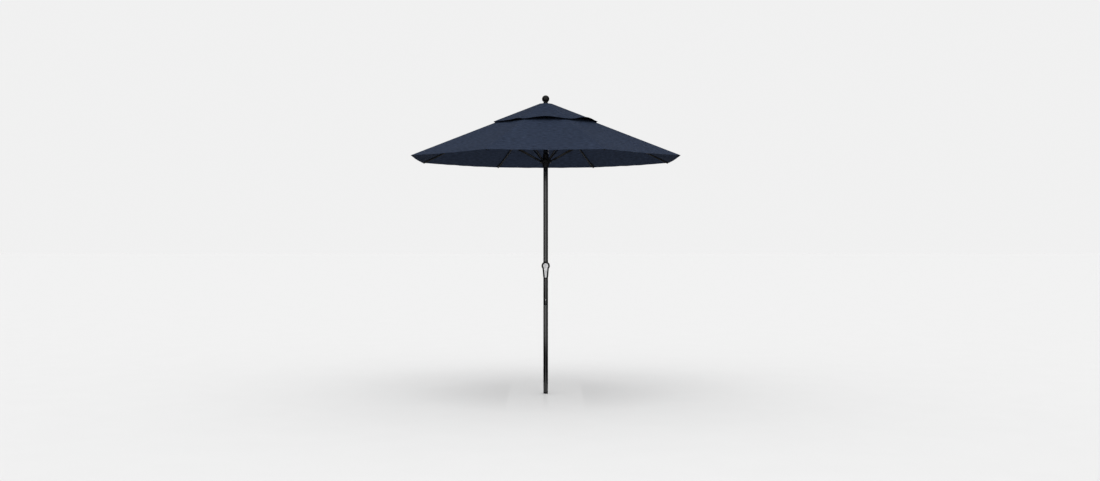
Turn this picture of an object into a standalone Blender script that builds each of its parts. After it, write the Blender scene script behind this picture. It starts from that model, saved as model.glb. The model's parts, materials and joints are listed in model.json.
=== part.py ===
"""A crank-lift patio umbrella with a two-piece pole, eight ribs, eight struts and a vented canopy.

Metres, +Z up. The origin is the centre of the pole's foot, and the crank faces -Y.
"""

import math

import bmesh
import bpy
from mathutils import Matrix, Vector

# ---- overall sizes -------------------------------------------------------------------------
HEIGHT = 2.438
RIB_COUNT = 8
CANOPY_CORNER_R = 1.140
CANOPY_RISE = 0.4032
FABRIC_T = 0.0010

# ---- clearances ----------------------------------------------------------------------------
GAP = 0.0003
RUN_GAP = 0.0008
PIN_GAP = 0.0004
SEAM_GAP = 0.0002
PAST = 0.010

# ---- pole ----------------------------------------------------------------------------------
POLE_R = 0.01905
POLE_WALL = 0.0015
CRANK_DROP = 1.311
SEAM_BELOW_CRANK = 0.324
FOOT_H = 0.012
FOOT_STEM = 0.028
FOOT_CHAMFER = 0.0015
INSERT_BELOW = 0.110
INSERT_ABOVE = 0.120
INSERT_WALL = 0.0015
BUTTON_ABOVE_SEAM = 0.045
BUTTON_R = 0.0040
BUTTON_PROUD = 0.0036
BUTTON_CROWN = 0.0006
BUTTON_DOME = 0.0022
BUTTON_LIP = 0.0012
BUTTON_BACK = 0.0030
SPRING_T = 0.0010
SPRING_W = 0.0070
SPRING_LENGTH = 0.040
SPRING_TOP = 0.005
SPRING_FLAT = 0.006
SPRING_BEND = 0.016
SPRING_BACK_GAP = 0.0012

# ---- linkage -------------------------------------------------------------------------------
PIVOT_PAST_POLE = 0.02295
RIB_R = 0.0060
RIB_WALL = 0.0008
RIB_TUBE_START = 0.026
LUG_IN_RIB = 0.016
TONGUE_T = 0.0044
EYE_R = 0.0045
RING_WIRE_R = 0.0015
SLOT_ROOM = 0.0018
STRUT_REACH = 0.528
BRACKET_DROP = 0.0267
EAR_T = 0.0020
EAR_R = 0.0062
EAR_SPREAD = 0.0040
EAR_ROOM = 0.0016
SADDLE_DEPTH = 0.0015
STRUT_R = 0.0052
STRUT_WALL = 0.0008
STRUT_OUTER_RISE = 0.0165
STRUT_INNER_DROP = 0.0020
STRUT_OUTER_END = 0.030
STRUT_INNER_END = 0.036
STRUT_LUG = 0.012
STRUT_EYE_R = 0.0050
LUG_INSET = 0.0010
PIN_R = 0.0020
PIN_PROUD = 0.0008
TIP_SETBACK = 0.010
TIP_HEAD = 0.014
TIP_STEM = 0.022
TIP_ROUND = 0.0025

# ---- hub and finial ------------------------------------------------------------------------
CLOTH_OVER_PIVOT = 0.0031
HUB_RIM = 0.0120
HUB_TOP = 0.0055
HUB_DISC_DEPTH = 0.017
HUB_CHAMFER = 0.002
HUB_TAPER = 0.006
HUB_CORE_WALL = 0.01595
COLLAR_WALL = 0.00945
COLLAR_BOTTOM = 0.072
POLE_TOP = 0.0030
CROWN_PAST_PIVOT = 0.0015
CROWN_T = 0.0070
CROWN_SHOULDER = ((0.010, 0.0), (0.002, 0.0012), (0.0, 0.0034))
BALL_R = 0.0300
NECK_R = 0.0200
NECK_H = 0.0162
NECK_FLARE = 0.0015
FLARE_H = 0.002
STUD_R = 0.0040
STUD_LENGTH = 0.018

# ---- vent cap ------------------------------------------------------------------------------
CAP_PAST_PIVOT = 0.0060
CAP_CORNER_R = 0.452
CAP_LIFT = 0.0135
VENT_HOLE_R = 0.260

# ---- runner --------------------------------------------------------------------------------
RUNNER_RIM = 0.0060
RUNNER_SLEEVE_WALL = 0.00495
RUNNER_NECK_WALL = 0.00345
RUNNER_FUNNEL_WALL = 0.00995
RUNNER_TOP = 0.009
RUNNER_BOTTOM = 0.015
RUNNER_SLEEVE_UP = 0.055
RUNNER_SLEEVE_DOWN = 0.052
RUNNER_CHAMFER = 0.0015
SLEEVE_CHAMFER = 0.001
FUNNEL_STEP = 0.003
SLOT_FLOOR = 0.0062

# ---- crank ---------------------------------------------------------------------------------
HEAD_PAST_POLE = 0.01545
NECK_PAST_POLE = 0.00845
TAIL_PAST_POLE = 0.00215
HOUSING_TAIL = 0.084
FRONT_PAST_POLE = 0.02095
REAR_PAST_POLE = 0.00795
HOUSING_WALL = 0.0025
DRUM_IN_BORE = 0.00505
DRUM_CORNER_GAP = 0.001542
FLANGE_DEPTH = 0.0025
FLANGE_T = 0.0015
SHAFT_R = 0.0040
SHAFT_INSET = 0.001
HANDLE_BOSS_R = 0.0205
HANDLE_NECK_R = 0.0155
HANDLE_TIP_R = 0.0070
HANDLE_REACH = 0.0885
HANDLE_T = 0.0060
HUB_CAP_R = 0.0124
HUB_CAP_T = 0.004
KNOB_R = 0.0070
KNOB_WAIST_R = 0.0060
KNOB_END_R = 0.0050
KNOB_FOOT_R = 0.0056
KNOB_ROUND = 0.003
KNOB_CROWN = 0.0005
KNOB_CAP = 0.0035
KNOB_LENGTH = 0.030
KNOB_PIN_R = 0.0025
KNOB_PIN_SHORT = 0.004

# ---- lift cord and its pulley --------------------------------------------------------------
CORD_R = 0.0015
PULLEY_R = 0.0110
PULLEY_PITCH_R = 0.0095
PULLEY_HALF = 0.0025
PULLEY_DROP = 0.055
PULLEY_ROOM = 0.0025
GROOVE_HALF = 0.0006
AXLE_INSET = 0.001
CORD_BENDS = 8

ROUND = 24
WIDE_ROUND = 32
KNOB_ROUND_STEPS = 16
TUBE_SIDES = 10
WIRE_SIDES = 6
HOLE_SIDES = 8
BAR_SIDES = 4
CRANK_SIDES = 16
BALL_BANDS = 9

# ---- worked out from the sizes above -------------------------------------------------------
HALF_STEP = math.pi / RIB_COUNT
RIB_PITCH = math.atan(CANOPY_RISE)
RIB_DROP = (RIB_R + GAP + FABRIC_T) / math.cos(RIB_PITCH)
SLOT_W = TONGUE_T + SLOT_ROOM
EAR_SPACE = TONGUE_T + EAR_ROOM
POLE_BORE = POLE_R - POLE_WALL
INSERT_R = POLE_BORE - GAP
INSERT_BORE = INSERT_R - INSERT_WALL
PIVOT_R = POLE_R + PIVOT_PAST_POLE
HUB_R = PIVOT_R + HUB_RIM
HUB_CORE_R = POLE_R + HUB_CORE_WALL
COLLAR_R = POLE_R + COLLAR_WALL
CROWN_R = PIVOT_R + CROWN_PAST_PIVOT
CAP_INNER_R = PIVOT_R + CAP_PAST_PIVOT
TIP_END_R = CANOPY_CORNER_R - TIP_SETBACK
RUNNER_BORE = POLE_R + RUN_GAP
RUNNER_R = PIVOT_R + RUNNER_RIM
RUNNER_SLEEVE_R = POLE_R + RUNNER_SLEEVE_WALL
RUNNER_NECK_R = POLE_R + RUNNER_NECK_WALL
RUNNER_FUNNEL_R = POLE_R + RUNNER_FUNNEL_WALL
HOUSING_R = POLE_R + HEAD_PAST_POLE
HOUSING_NECK_R = POLE_R + NECK_PAST_POLE
HOUSING_TAIL_R = POLE_R + TAIL_PAST_POLE
HOUSING_FRONT = POLE_R + FRONT_PAST_POLE
HOUSING_REAR = POLE_R + REAR_PAST_POLE
DRUM_FLANGE_R = POLE_BORE - DRUM_IN_BORE
DRUM_R = DRUM_FLANGE_R - FLANGE_DEPTH
DRUM_HALF = math.sqrt((POLE_BORE - DRUM_CORNER_GAP) ** 2 - DRUM_FLANGE_R**2)
BALL_Z = HEIGHT - BALL_R
NECK_TOP_Z = BALL_Z - math.sqrt(BALL_R**2 - NECK_R**2)
FINIAL_Z = NECK_TOP_Z - NECK_H
CROWN_Z = FINIAL_Z - CROWN_T - FABRIC_T - 2 * GAP
HUB_TOP_Z = CROWN_Z - GAP
HUB_PIVOT_Z = HUB_TOP_Z - HUB_TOP
POLE_TOP_Z = HUB_PIVOT_Z - POLE_TOP
CANOPY_CORNER_Z = HUB_PIVOT_Z + CLOTH_OVER_PIVOT - CANOPY_RISE * (CANOPY_CORNER_R - PIVOT_R)
CRANK_Z = HUB_PIVOT_Z - CRANK_DROP
SEAM_Z = CRANK_Z - SEAM_BELOW_CRANK
BUTTON_Z = SEAM_Z + BUTTON_ABOVE_SEAM
PULLEY_Z = HUB_PIVOT_Z - PULLEY_DROP
CORD_X = DRUM_R + CORD_R
PULLEY_X = CORD_X + PULLEY_PITCH_R


def fabric_z(r):
    """Height of the main fabric's upper face on a rib, at radius r."""
    return CANOPY_CORNER_Z + CANOPY_RISE * (CANOPY_CORNER_R - r)


def rib_axis_z(r):
    return fabric_z(r) - RIB_DROP


KNEE_Z = rib_axis_z(STRUT_REACH) - BRACKET_DROP
RUNNER_PIVOT_Z = 2 * KNEE_Z - HUB_PIVOT_Z
LINK = math.hypot(STRUT_REACH - PIVOT_R, HUB_PIVOT_Z - KNEE_Z)
LINK_PITCH = math.atan2(HUB_PIVOT_Z - KNEE_Z, STRUT_REACH - PIVOT_R)
RIB_ANGLES = [(2 * i + 1) * HALF_STEP for i in range(RIB_COUNT)]


# ---- helpers -------------------------------------------------------------------------------
def new_collection(name):
    found = bpy.data.collections.new(name)
    bpy.context.scene.collection.children.link(found)
    return found


for old in list(bpy.data.objects):
    bpy.data.objects.remove(old, do_unlink=True)
PARTS = new_collection("patio_umbrella")
CUTTERS = new_collection("cutters")


def material(name, colour, roughness, metallic=0.0):
    made = bpy.data.materials.new(name)
    made.use_nodes = True
    shader = made.node_tree.nodes["Principled BSDF"]
    shader.inputs["Base Color"].default_value = (*colour, 1.0)
    shader.inputs["Roughness"].default_value = roughness
    shader.inputs["Metallic"].default_value = metallic
    return made


BLACK_PAINT = material("black_paint", (0.012, 0.012, 0.013), 0.25)
BLACK_PLASTIC = material("black_plastic", (0.015, 0.015, 0.016), 0.45)
BRONZE_PAINT = material("bronze_paint", (0.040, 0.037, 0.036), 0.35)
NAVY_FABRIC = material("navy_fabric", (0.020, 0.040, 0.085), 0.85)
GREY_METAL = material("grey_metal", (0.60, 0.60, 0.60), 0.35, 1.0)
SILVER_PLASTIC = material("silver_plastic", (0.62, 0.62, 0.62), 0.40)
WHITE_CORD = material("white_cord", (0.55, 0.55, 0.53), 0.80)


def link(obj, collection):
    collection.objects.link(obj)
    return obj


def place(name, mesh, finish, matrix=None):
    """A named part with a mesh of its own or a shared one."""
    obj = bpy.data.objects.new(name, mesh)
    if not mesh.materials:
        mesh.materials.append(finish)
    link(obj, PARTS)
    if matrix is not None:
        obj.matrix_world = matrix
    return obj


def as_cutter(obj):
    """Keeps a shape as a guide for Booleans only."""
    for home in list(obj.users_collection):
        home.objects.unlink(obj)
    link(obj, CUTTERS)
    obj.hide_render = True
    obj.display_type = "WIRE"
    return obj


def baked(obj):
    """The evaluated mesh of an object, in its own space. The object is removed."""
    bpy.context.view_layer.update()
    view = bpy.context.evaluated_depsgraph_get()
    mesh = bpy.data.meshes.new_from_object(obj.evaluated_get(view))
    bpy.data.objects.remove(obj, do_unlink=True)
    return mesh


def smooth(mesh, degrees=35.0):
    mesh.shade_smooth()
    mesh.set_sharp_from_angle(angle=math.radians(degrees))
    return mesh


def turned(name, profile, steps=ROUND, closed=False):
    """A loose object: a profile of (radius, height) points, top to bottom outside, about Z."""
    mesh = bpy.data.meshes.new(name)
    edges = [(i, i + 1) for i in range(len(profile) - 1)]
    if closed:
        edges.append((len(profile) - 1, 0))
    mesh.from_pydata([(r, 0.0, z) for r, z in profile], edges, [])
    obj = link(bpy.data.objects.new(name, mesh), PARTS)
    screw = obj.modifiers.new("turn", "SCREW")
    screw.steps = steps
    screw.render_steps = steps
    screw.use_merge_vertices = True
    screw.merge_threshold = 0.00001
    screw.use_smooth_shade = True
    return obj


def ring_profile(r_out, r_in, top, bottom):
    return [(r_out, top), (r_out, bottom), (r_in, bottom), (r_in, top)]


def rod(name, radius, low, high, steps=TUBE_SIDES):
    return turned(name, [(0.0, high), (radius, high), (radius, low), (0.0, low)], steps)


def box(name, low, high):
    """A loose block between two corners."""
    mesh = bpy.data.meshes.new(name)
    made = bmesh.new()
    bmesh.ops.create_cube(made, size=1.0)
    size = Vector(high) - Vector(low)
    middle = (Vector(high) + Vector(low)) / 2
    bmesh.ops.scale(made, vec=size, verts=made.verts)
    bmesh.ops.translate(made, vec=middle, verts=made.verts)
    made.to_mesh(mesh)
    made.free()
    return link(bpy.data.objects.new(name, mesh), PARTS)


def plate(name, outline, holes, thickness):
    """A flat outline in X and Z with thickness along Y, as a loose mesh object."""
    curve = bpy.data.curves.new(name, "CURVE")
    curve.dimensions = "2D"
    curve.fill_mode = "BOTH"
    curve.extrude = thickness / 2
    for loop in [outline] + holes:
        spline = curve.splines.new("POLY")
        spline.points.add(len(loop) - 1)
        for point, (x, z) in zip(spline.points, loop):
            point.co = (x, z, 0.0, 1.0)
        spline.use_cyclic_u = True
    mesh = baked(link(bpy.data.objects.new(name, curve), PARTS))
    work = bmesh.new()
    work.from_mesh(mesh)
    bmesh.ops.remove_doubles(work, verts=work.verts, dist=0.00001)
    bmesh.ops.rotate(work, matrix=Matrix.Rotation(math.pi / 2, 3, "X"), verts=work.verts)
    bmesh.ops.recalc_face_normals(work, faces=work.faces)
    work.to_mesh(mesh)
    work.free()
    return link(bpy.data.objects.new(name, mesh), PARTS)


def circle(x, z, radius, sides=TUBE_SIDES):
    turn = 2 * math.pi / sides
    return [
        (x + radius * math.cos(turn * i), z + radius * math.sin(turn * i)) for i in range(sides)
    ]


def bar_outline(start, r_start, end, r_end, sides=BAR_SIDES):
    """The outline round two circles: start and end are (x, z) centres."""
    dx = start[0] - end[0]
    dz = start[1] - end[1]
    length = math.hypot(dx, dz)
    facing = math.atan2(dz, dx)
    half = math.pi / 2 + math.asin((r_start - r_end) / length)
    points = []
    for i in range(sides + 1):
        a = facing - half + 2 * half * i / sides
        points.append((start[0] + r_start * math.cos(a), start[1] + r_start * math.sin(a)))
    rest = math.pi - half
    for i in range(sides + 1):
        a = facing + math.pi - rest + 2 * rest * i / sides
        points.append((end[0] + r_end * math.cos(a), end[1] + r_end * math.sin(a)))
    return points


def combine(body, others, operation):
    """Joins or cuts a loose object by others, and gives one loose object back."""
    for other in others:
        as_cutter(other)
        step = body.modifiers.new("boolean", "BOOLEAN")
        step.operation = operation
        step.solver = "EXACT"
        step.object = other
    name = body.name
    own = body.matrix_world.copy()
    mesh = baked(body)
    mesh.transform(own)
    for other in others:
        bpy.data.objects.remove(other, do_unlink=True)
    return link(bpy.data.objects.new(name, mesh), PARTS)


def moved(obj, matrix):
    obj.matrix_world = matrix
    return obj


def finish_part(obj, name, finish, matrix=None):
    """Turns a loose object into the named part, its mesh kept in the part's own space."""
    own = obj.matrix_world.copy()
    mesh = baked(obj)
    mesh.transform(own)
    mesh.name = name
    mesh.materials.clear()
    smooth(mesh)
    return place(name, mesh, finish, matrix)


def about_y(angle):
    return Matrix.Rotation(angle, 4, "Y")


def about_z(angle):
    return Matrix.Rotation(angle, 4, "Z")


ALONG_X = Matrix.Rotation(math.pi / 2, 4, "Y")
ALONG_Y = Matrix.Rotation(-math.pi / 2, 4, "X")
FRONTWARD = Matrix.Rotation(math.pi / 2, 4, "X")


def shift(x, y, z):
    return Matrix.Translation((x, y, z))


def ring_wire(name, major, z):
    """A closed wire ring."""
    turn = 2 * math.pi / WIRE_SIDES
    profile = [
        (
            major + RING_WIRE_R * math.cos(turn * i),
            z - RING_WIRE_R * math.sin(turn * i),
        )
        for i in range(WIRE_SIDES)
    ]
    return turned(name, profile, WIDE_ROUND, closed=True)


# ---- pole ----------------------------------------------------------------------------------
def make_pole():
    foot = turned(
        "foot",
        [
            (0.0, FOOT_H + FOOT_STEM),
            (POLE_BORE - GAP, FOOT_H + FOOT_STEM),
            (POLE_BORE - GAP, FOOT_H),
            (POLE_R, FOOT_H),
            (POLE_R, FOOT_CHAMFER),
            (POLE_R - FOOT_CHAMFER, 0.0),
            (0.0, 0.0),
        ],
    )
    finish_part(foot, "pole_foot_plug", BLACK_PLASTIC)
    low = ring_profile(POLE_R, POLE_BORE, SEAM_Z - GAP, FOOT_H + GAP)
    finish_part(turned("low", low, closed=True), "lower_pole", BLACK_PAINT)

    insert = turned(
        "insert",
        ring_profile(INSERT_R, INSERT_BORE, SEAM_Z + INSERT_ABOVE, SEAM_Z - INSERT_BELOW),
        closed=True,
    )
    hole = rod("hole", BUTTON_R + PIN_GAP, 0.0, POLE_R + PAST)
    moved(hole, shift(0, 0, BUTTON_Z) @ FRONTWARD)
    finish_part(combine(insert, [hole], "DIFFERENCE"), "pole_insert", GREY_METAL)

    upper = turned(
        "upper", ring_profile(POLE_R, POLE_BORE, POLE_TOP_Z, SEAM_Z), closed=True
    )
    button_hole = rod("button_hole", BUTTON_R + PIN_GAP, 0.0, POLE_R + PAST)
    moved(button_hole, shift(0, 0, BUTTON_Z) @ FRONTWARD)
    drum_hole = rod("drum_hole", DRUM_FLANGE_R + RUN_GAP, 0.0, POLE_R + PAST)
    moved(drum_hole, shift(0, 0, CRANK_Z) @ FRONTWARD)
    shaft_hole = rod("shaft_hole", SHAFT_R + PIN_GAP, 0.0, POLE_R + PAST)
    moved(shaft_hole, shift(0, 0, CRANK_Z) @ ALONG_Y)
    cuts = [button_hole, drum_hole, shaft_hole, pulley_window("pole_window")]
    finish_part(combine(upper, cuts, "DIFFERENCE"), "upper_pole", BLACK_PAINT)


def make_snap_button():
    """A domed button that pokes through both tubes, and the leaf spring behind it."""
    tip = POLE_R + BUTTON_PROUD
    edge = BUTTON_R + BUTTON_LIP
    flange = math.sqrt(INSERT_BORE**2 - edge**2) - 2 * GAP
    back = flange - BUTTON_BACK
    button = turned(
        "button",
        [
            (0.0, tip),
            (BUTTON_R - BUTTON_DOME + BUTTON_CROWN, tip - BUTTON_CROWN),
            (BUTTON_R, tip - BUTTON_DOME),
            (BUTTON_R, flange),
            (edge, flange),
            (edge, back),
            (0.0, back),
        ],
        TUBE_SIDES,
    )
    placed = shift(0, 0, BUTTON_Z) @ FRONTWARD
    finish_part(button, "snap_button", GREY_METAL, placed)

    front = -(back - GAP - SPRING_T / 2)
    rear = INSERT_BORE - SPRING_BACK_GAP
    path = [
        (front, BUTTON_Z + SPRING_TOP),
        (front, BUTTON_Z - SPRING_FLAT),
        (front + BUTTON_LIP, BUTTON_Z - SPRING_BEND),
        (0.0, BUTTON_Z - SPRING_LENGTH),
        (rear - BUTTON_LIP, BUTTON_Z - SPRING_BEND),
        (rear, BUTTON_Z + SPRING_TOP),
    ]
    leaf = bpy.data.meshes.new("leaf")
    work = bmesh.new()
    rows = [
        [work.verts.new((side * SPRING_W / 2, y, z)) for side in (-1, 1)] for y, z in path
    ]
    for above, below in zip(rows, rows[1:]):
        work.faces.new((above[0], above[1], below[1], below[0]))
    work.to_mesh(leaf)
    work.free()
    spring = link(bpy.data.objects.new("leaf", leaf), PARTS)
    thick = spring.modifiers.new("thick", "SOLIDIFY")
    thick.thickness = SPRING_T
    thick.offset = 0.0
    finish_part(spring, "snap_spring", GREY_METAL)


# ---- hub, finial and pulley ----------------------------------------------------------------
def pulley_window(name):
    """The cut that lets the pulley and cord pass from inside the pole to outside."""
    half = PULLEY_HALF + RUN_GAP
    reach = PULLEY_R + PULLEY_ROOM
    return box(
        name,
        (PULLEY_X - reach, -half, PULLEY_Z - reach),
        (PULLEY_X + reach, half, PULLEY_Z + reach),
    )


def radial_slots(low_z, high_z, inner, outer):
    """One cutter for each rib's slot."""
    slots = []
    for angle in RIB_ANGLES:
        slot = box("slot", (inner, -SLOT_W / 2, low_z), (outer, SLOT_W / 2, high_z))
        slots.append(moved(slot, about_z(angle)))
    return slots


def make_hub():
    groove = RING_WIRE_R + GAP
    disc_z = HUB_TOP_Z - HUB_DISC_DEPTH
    profile = [
        (STUD_R + GAP, HUB_TOP_Z),
        (PIVOT_R - groove, HUB_TOP_Z),
        (PIVOT_R - groove, HUB_PIVOT_Z - groove),
        (PIVOT_R + groove, HUB_PIVOT_Z - groove),
        (PIVOT_R + groove, HUB_TOP_Z),
        (HUB_R - HUB_CHAMFER, HUB_TOP_Z),
        (HUB_R, HUB_TOP_Z - HUB_CHAMFER),
        (HUB_R, disc_z),
        (COLLAR_R, disc_z - HUB_TAPER),
        (COLLAR_R, HUB_PIVOT_Z - COLLAR_BOTTOM),
        (POLE_R + GAP, HUB_PIVOT_Z - COLLAR_BOTTOM),
        (POLE_R + GAP, POLE_TOP_Z + GAP),
        (STUD_R + GAP, POLE_TOP_Z + GAP),
    ]
    hub = turned("hub", profile, WIDE_ROUND, closed=True)
    axle_hole = rod("axle_hole", PIN_R + GAP, -COLLAR_R, COLLAR_R)
    moved(axle_hole, shift(PULLEY_X, 0, PULLEY_Z) @ ALONG_Y)
    cuts = radial_slots(disc_z - HUB_TAPER - PAST, HUB_TOP_Z + PAST, HUB_CORE_R, HUB_R + PAST)
    cuts += [pulley_window("hub_window"), axle_hole]
    finish_part(combine(hub, cuts, "DIFFERENCE"), "top_hub", BLACK_PLASTIC)
    finish_part(ring_wire("hub_wire", PIVOT_R, HUB_PIVOT_Z), "hub_ring", GREY_METAL)

    crown = turned(
        "crown",
        [(STUD_R + GAP, CROWN_Z + CROWN_T)]
        + [(CROWN_R - inset, CROWN_Z + CROWN_T - drop) for inset, drop in CROWN_SHOULDER]
        + [(CROWN_R, CROWN_Z), (STUD_R + GAP, CROWN_Z)],
        closed=True,
    )
    finish_part(crown, "crown_plate", BLACK_PLASTIC)


def make_finial():
    neck = math.asin(NECK_R / BALL_R)
    ball = []
    for i in range(BALL_BANDS + 1):
        a = (math.pi - neck) * i / BALL_BANDS
        ball.append((BALL_R * math.sin(a), BALL_Z + BALL_R * math.cos(a)))
    foot = [
        (NECK_R, FINIAL_Z + 2 * FLARE_H),
        (NECK_R + NECK_FLARE, FINIAL_Z + FLARE_H),
        (NECK_R + NECK_FLARE, FINIAL_Z),
        (STUD_R, FINIAL_Z),
        (STUD_R, FINIAL_Z - STUD_LENGTH),
        (0.0, FINIAL_Z - STUD_LENGTH),
    ]
    finish_part(turned("ball", ball + foot), "finial", BLACK_PLASTIC)


def make_pulley():
    floor = PULLEY_PITCH_R - CORD_R - GAP
    wheel = turned(
        "wheel",
        [
            (PIN_R + GAP, PULLEY_HALF),
            (PULLEY_R, PULLEY_HALF),
            (floor, GROOVE_HALF),
            (floor, -GROOVE_HALF),
            (PULLEY_R, -PULLEY_HALF),
            (PIN_R + GAP, -PULLEY_HALF),
        ],
        ROUND,
        closed=True,
    )
    placed = shift(PULLEY_X, 0, PULLEY_Z) @ ALONG_Y
    groove = turned(
        "groove",
        ring_profile(PULLEY_R + GAP, floor, CORD_R + GAP, -CORD_R - GAP),
        ROUND,
        closed=True,
    )
    finish_part(combine(wheel, [groove], "DIFFERENCE"), "lift_pulley", SILVER_PLASTIC, placed)
    half = math.sqrt(COLLAR_R**2 - PULLEY_X**2) - AXLE_INSET
    finish_part(rod("axle", PIN_R, -half, half), "pulley_axle", GREY_METAL, placed)


# ---- ribs, struts and canopy ---------------------------------------------------------------
def rib_frame(angle):
    """At the hub pivot, X along the rib and Z square to it."""
    turn = about_z(angle)
    return turn @ shift(PIVOT_R, 0, HUB_PIVOT_Z) @ about_y(RIB_PITCH)


def along_rib(r, z):
    """A point (radius, height) in the rib's own X and Z."""
    dx = r - PIVOT_R
    dz = z - HUB_PIVOT_Z
    c = math.cos(RIB_PITCH)
    s = math.sin(RIB_PITCH)
    return (dx * c - dz * s, dx * s + dz * c)


AXIS_RISE = along_rib(PIVOT_R, rib_axis_z(PIVOT_R))[1]
KNEE = along_rib(STRUT_REACH, KNEE_Z)
TIP_X = along_rib(TIP_END_R, rib_axis_z(TIP_END_R))[0]
RIB_TUBE_END = TIP_X - TIP_HEAD


def make_rib_mesh():
    """A thin tube with an eye for the hub's ring and two ears for the strut's pin."""
    tube = turned(
        "rib",
        ring_profile(RIB_R, RIB_R - RIB_WALL, RIB_TUBE_END, RIB_TUBE_START),
        TUBE_SIDES,
        closed=True,
    )
    moved(tube, shift(0, 0, AXIS_RISE) @ ALONG_X)
    lug_end = RIB_TUBE_START + LUG_IN_RIB
    tongue = plate(
        "tongue",
        bar_outline((0.0, 0.0), EYE_R, (lug_end, AXIS_RISE), RIB_R - LUG_INSET),
        [circle(0.0, 0.0, RING_WIRE_R + PIN_GAP, HOLE_SIDES)],
        TONGUE_T,
    )
    ears = []
    for side in (-1, 1):
        ear = plate(
            "ear",
            bar_outline(KNEE, EAR_R, (KNEE[0], AXIS_RISE), EAR_R + EAR_SPREAD),
            [circle(*KNEE, PIN_R + PIN_GAP, HOLE_SIDES)],
            EAR_T,
        )
        top = box(
            "top",
            (KNEE[0] - EAR_R - PAST, -EAR_T, AXIS_RISE - SADDLE_DEPTH),
            (KNEE[0] + EAR_R + PAST, EAR_T, AXIS_RISE + EAR_R + PAST),
        )
        ear = combine(ear, [top], "DIFFERENCE")
        ears.append(moved(ear, shift(0, side * (EAR_SPACE + EAR_T) / 2, 0)))
    own = combine(tube, [tongue] + ears, "UNION")
    return smooth(baked(own))


def make_strut_mesh():
    """X runs from the knee pin to the runner's ring. Flat lugs close on a thin tube."""
    start = Vector((STRUT_OUTER_END, 0, STRUT_OUTER_RISE))
    end = Vector((LINK - STRUT_INNER_END, 0, -STRUT_INNER_DROP))
    run = end - start
    tilt = math.atan2(-run.z, run.x)
    tube = turned(
        "strut",
        ring_profile(STRUT_R, STRUT_R - STRUT_WALL, run.length, 0.0),
        TUBE_SIDES,
        closed=True,
    )
    moved(tube, Matrix.Translation(start) @ about_y(tilt) @ ALONG_X)
    inside = STRUT_R - LUG_INSET
    outer_in = start + run.normalized() * STRUT_LUG
    inner_in = end - run.normalized() * STRUT_LUG
    outer_lug = plate(
        "outer_lug",
        bar_outline((0.0, 0.0), STRUT_EYE_R, (outer_in.x, outer_in.z), inside),
        [],
        TONGUE_T,
    )
    inner_lug = plate(
        "inner_lug",
        bar_outline((LINK, 0.0), EYE_R, (inner_in.x, inner_in.z), inside),
        [circle(LINK, 0.0, RING_WIRE_R + PIN_GAP, HOLE_SIDES)],
        TONGUE_T,
    )
    half = EAR_SPACE / 2 + EAR_T + PIN_PROUD
    pin = moved(rod("pin", PIN_R, -half, half), ALONG_Y)
    return smooth(baked(combine(tube, [outer_lug, inner_lug, pin], "UNION")))


def make_tip_mesh():
    """The plug in the rib's end, along X like the rib."""
    face = RIB_TUBE_END + GAP
    tip = turned(
        "tip",
        [
            (0.0, TIP_X),
            (RIB_R - TIP_ROUND, TIP_X),
            (RIB_R, TIP_X - TIP_ROUND),
            (RIB_R, face),
            (RIB_R - RIB_WALL - GAP, face),
            (RIB_R - RIB_WALL - GAP, face - TIP_STEM),
            (0.0, face - TIP_STEM),
        ],
        TUBE_SIDES,
    )
    moved(tip, shift(0, 0, AXIS_RISE) @ ALONG_X)
    own = tip.matrix_world.copy()
    mesh = baked(tip)
    mesh.transform(own)
    return smooth(mesh)


def wing_mesh(name, inner_r, outer_r, lift, rings):
    """Two half panels that meet on a rib. Corner radii run from inner_r to outer_r."""
    mesh = bpy.data.meshes.new(name)
    work = bmesh.new()
    mid = math.cos(HALF_STEP)
    rows = []
    for k in range(rings + 1):
        r = inner_r + (outer_r - inner_r) * k / rings
        z = fabric_z(r) + lift - HUB_PIVOT_Z
        x = r * mid * mid
        y = r * mid * math.sin(HALF_STEP) - SEAM_GAP / mid
        rows.append(
            [work.verts.new(p) for p in ((x - PIVOT_R, -y, z), (r - PIVOT_R, 0, z), (x - PIVOT_R, y, z))]
        )
    for inner, outer in zip(rows, rows[1:]):
        for j in range(2):
            work.faces.new((inner[j], outer[j], outer[j + 1], inner[j + 1]))
    work.to_mesh(mesh)
    work.free()
    sheet = link(bpy.data.objects.new(name, mesh), PARTS)
    thick = sheet.modifiers.new("thick", "SOLIDIFY")
    thick.thickness = FABRIC_T
    thick.offset = -1.0
    return baked(sheet)


def make_frame_and_canopy():
    rib = make_rib_mesh()
    strut = make_strut_mesh()
    tip = make_tip_mesh()
    canopy = wing_mesh("canopy", VENT_HOLE_R, CANOPY_CORNER_R, 0.0, 2)
    vent = wing_mesh("vent", CAP_INNER_R, CAP_CORNER_R, CAP_LIFT, 1)
    for i, angle in enumerate(RIB_ANGLES, 1):
        along = rib_frame(angle)
        flat = about_z(angle) @ shift(PIVOT_R, 0, HUB_PIVOT_Z)
        knee = about_z(angle) @ shift(STRUT_REACH, 0, KNEE_Z) @ about_z(math.pi)
        place(f"rib_{i}", rib, BRONZE_PAINT, along)
        place(f"rib_tip_{i}", tip, BLACK_PLASTIC, along)
        place(f"canopy_{i}", canopy, NAVY_FABRIC, flat)
        place(f"vent_cap_{i}", vent, NAVY_FABRIC, flat)
        place(f"strut_{i}", strut, BRONZE_PAINT, knee @ about_y(LINK_PITCH))


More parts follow.
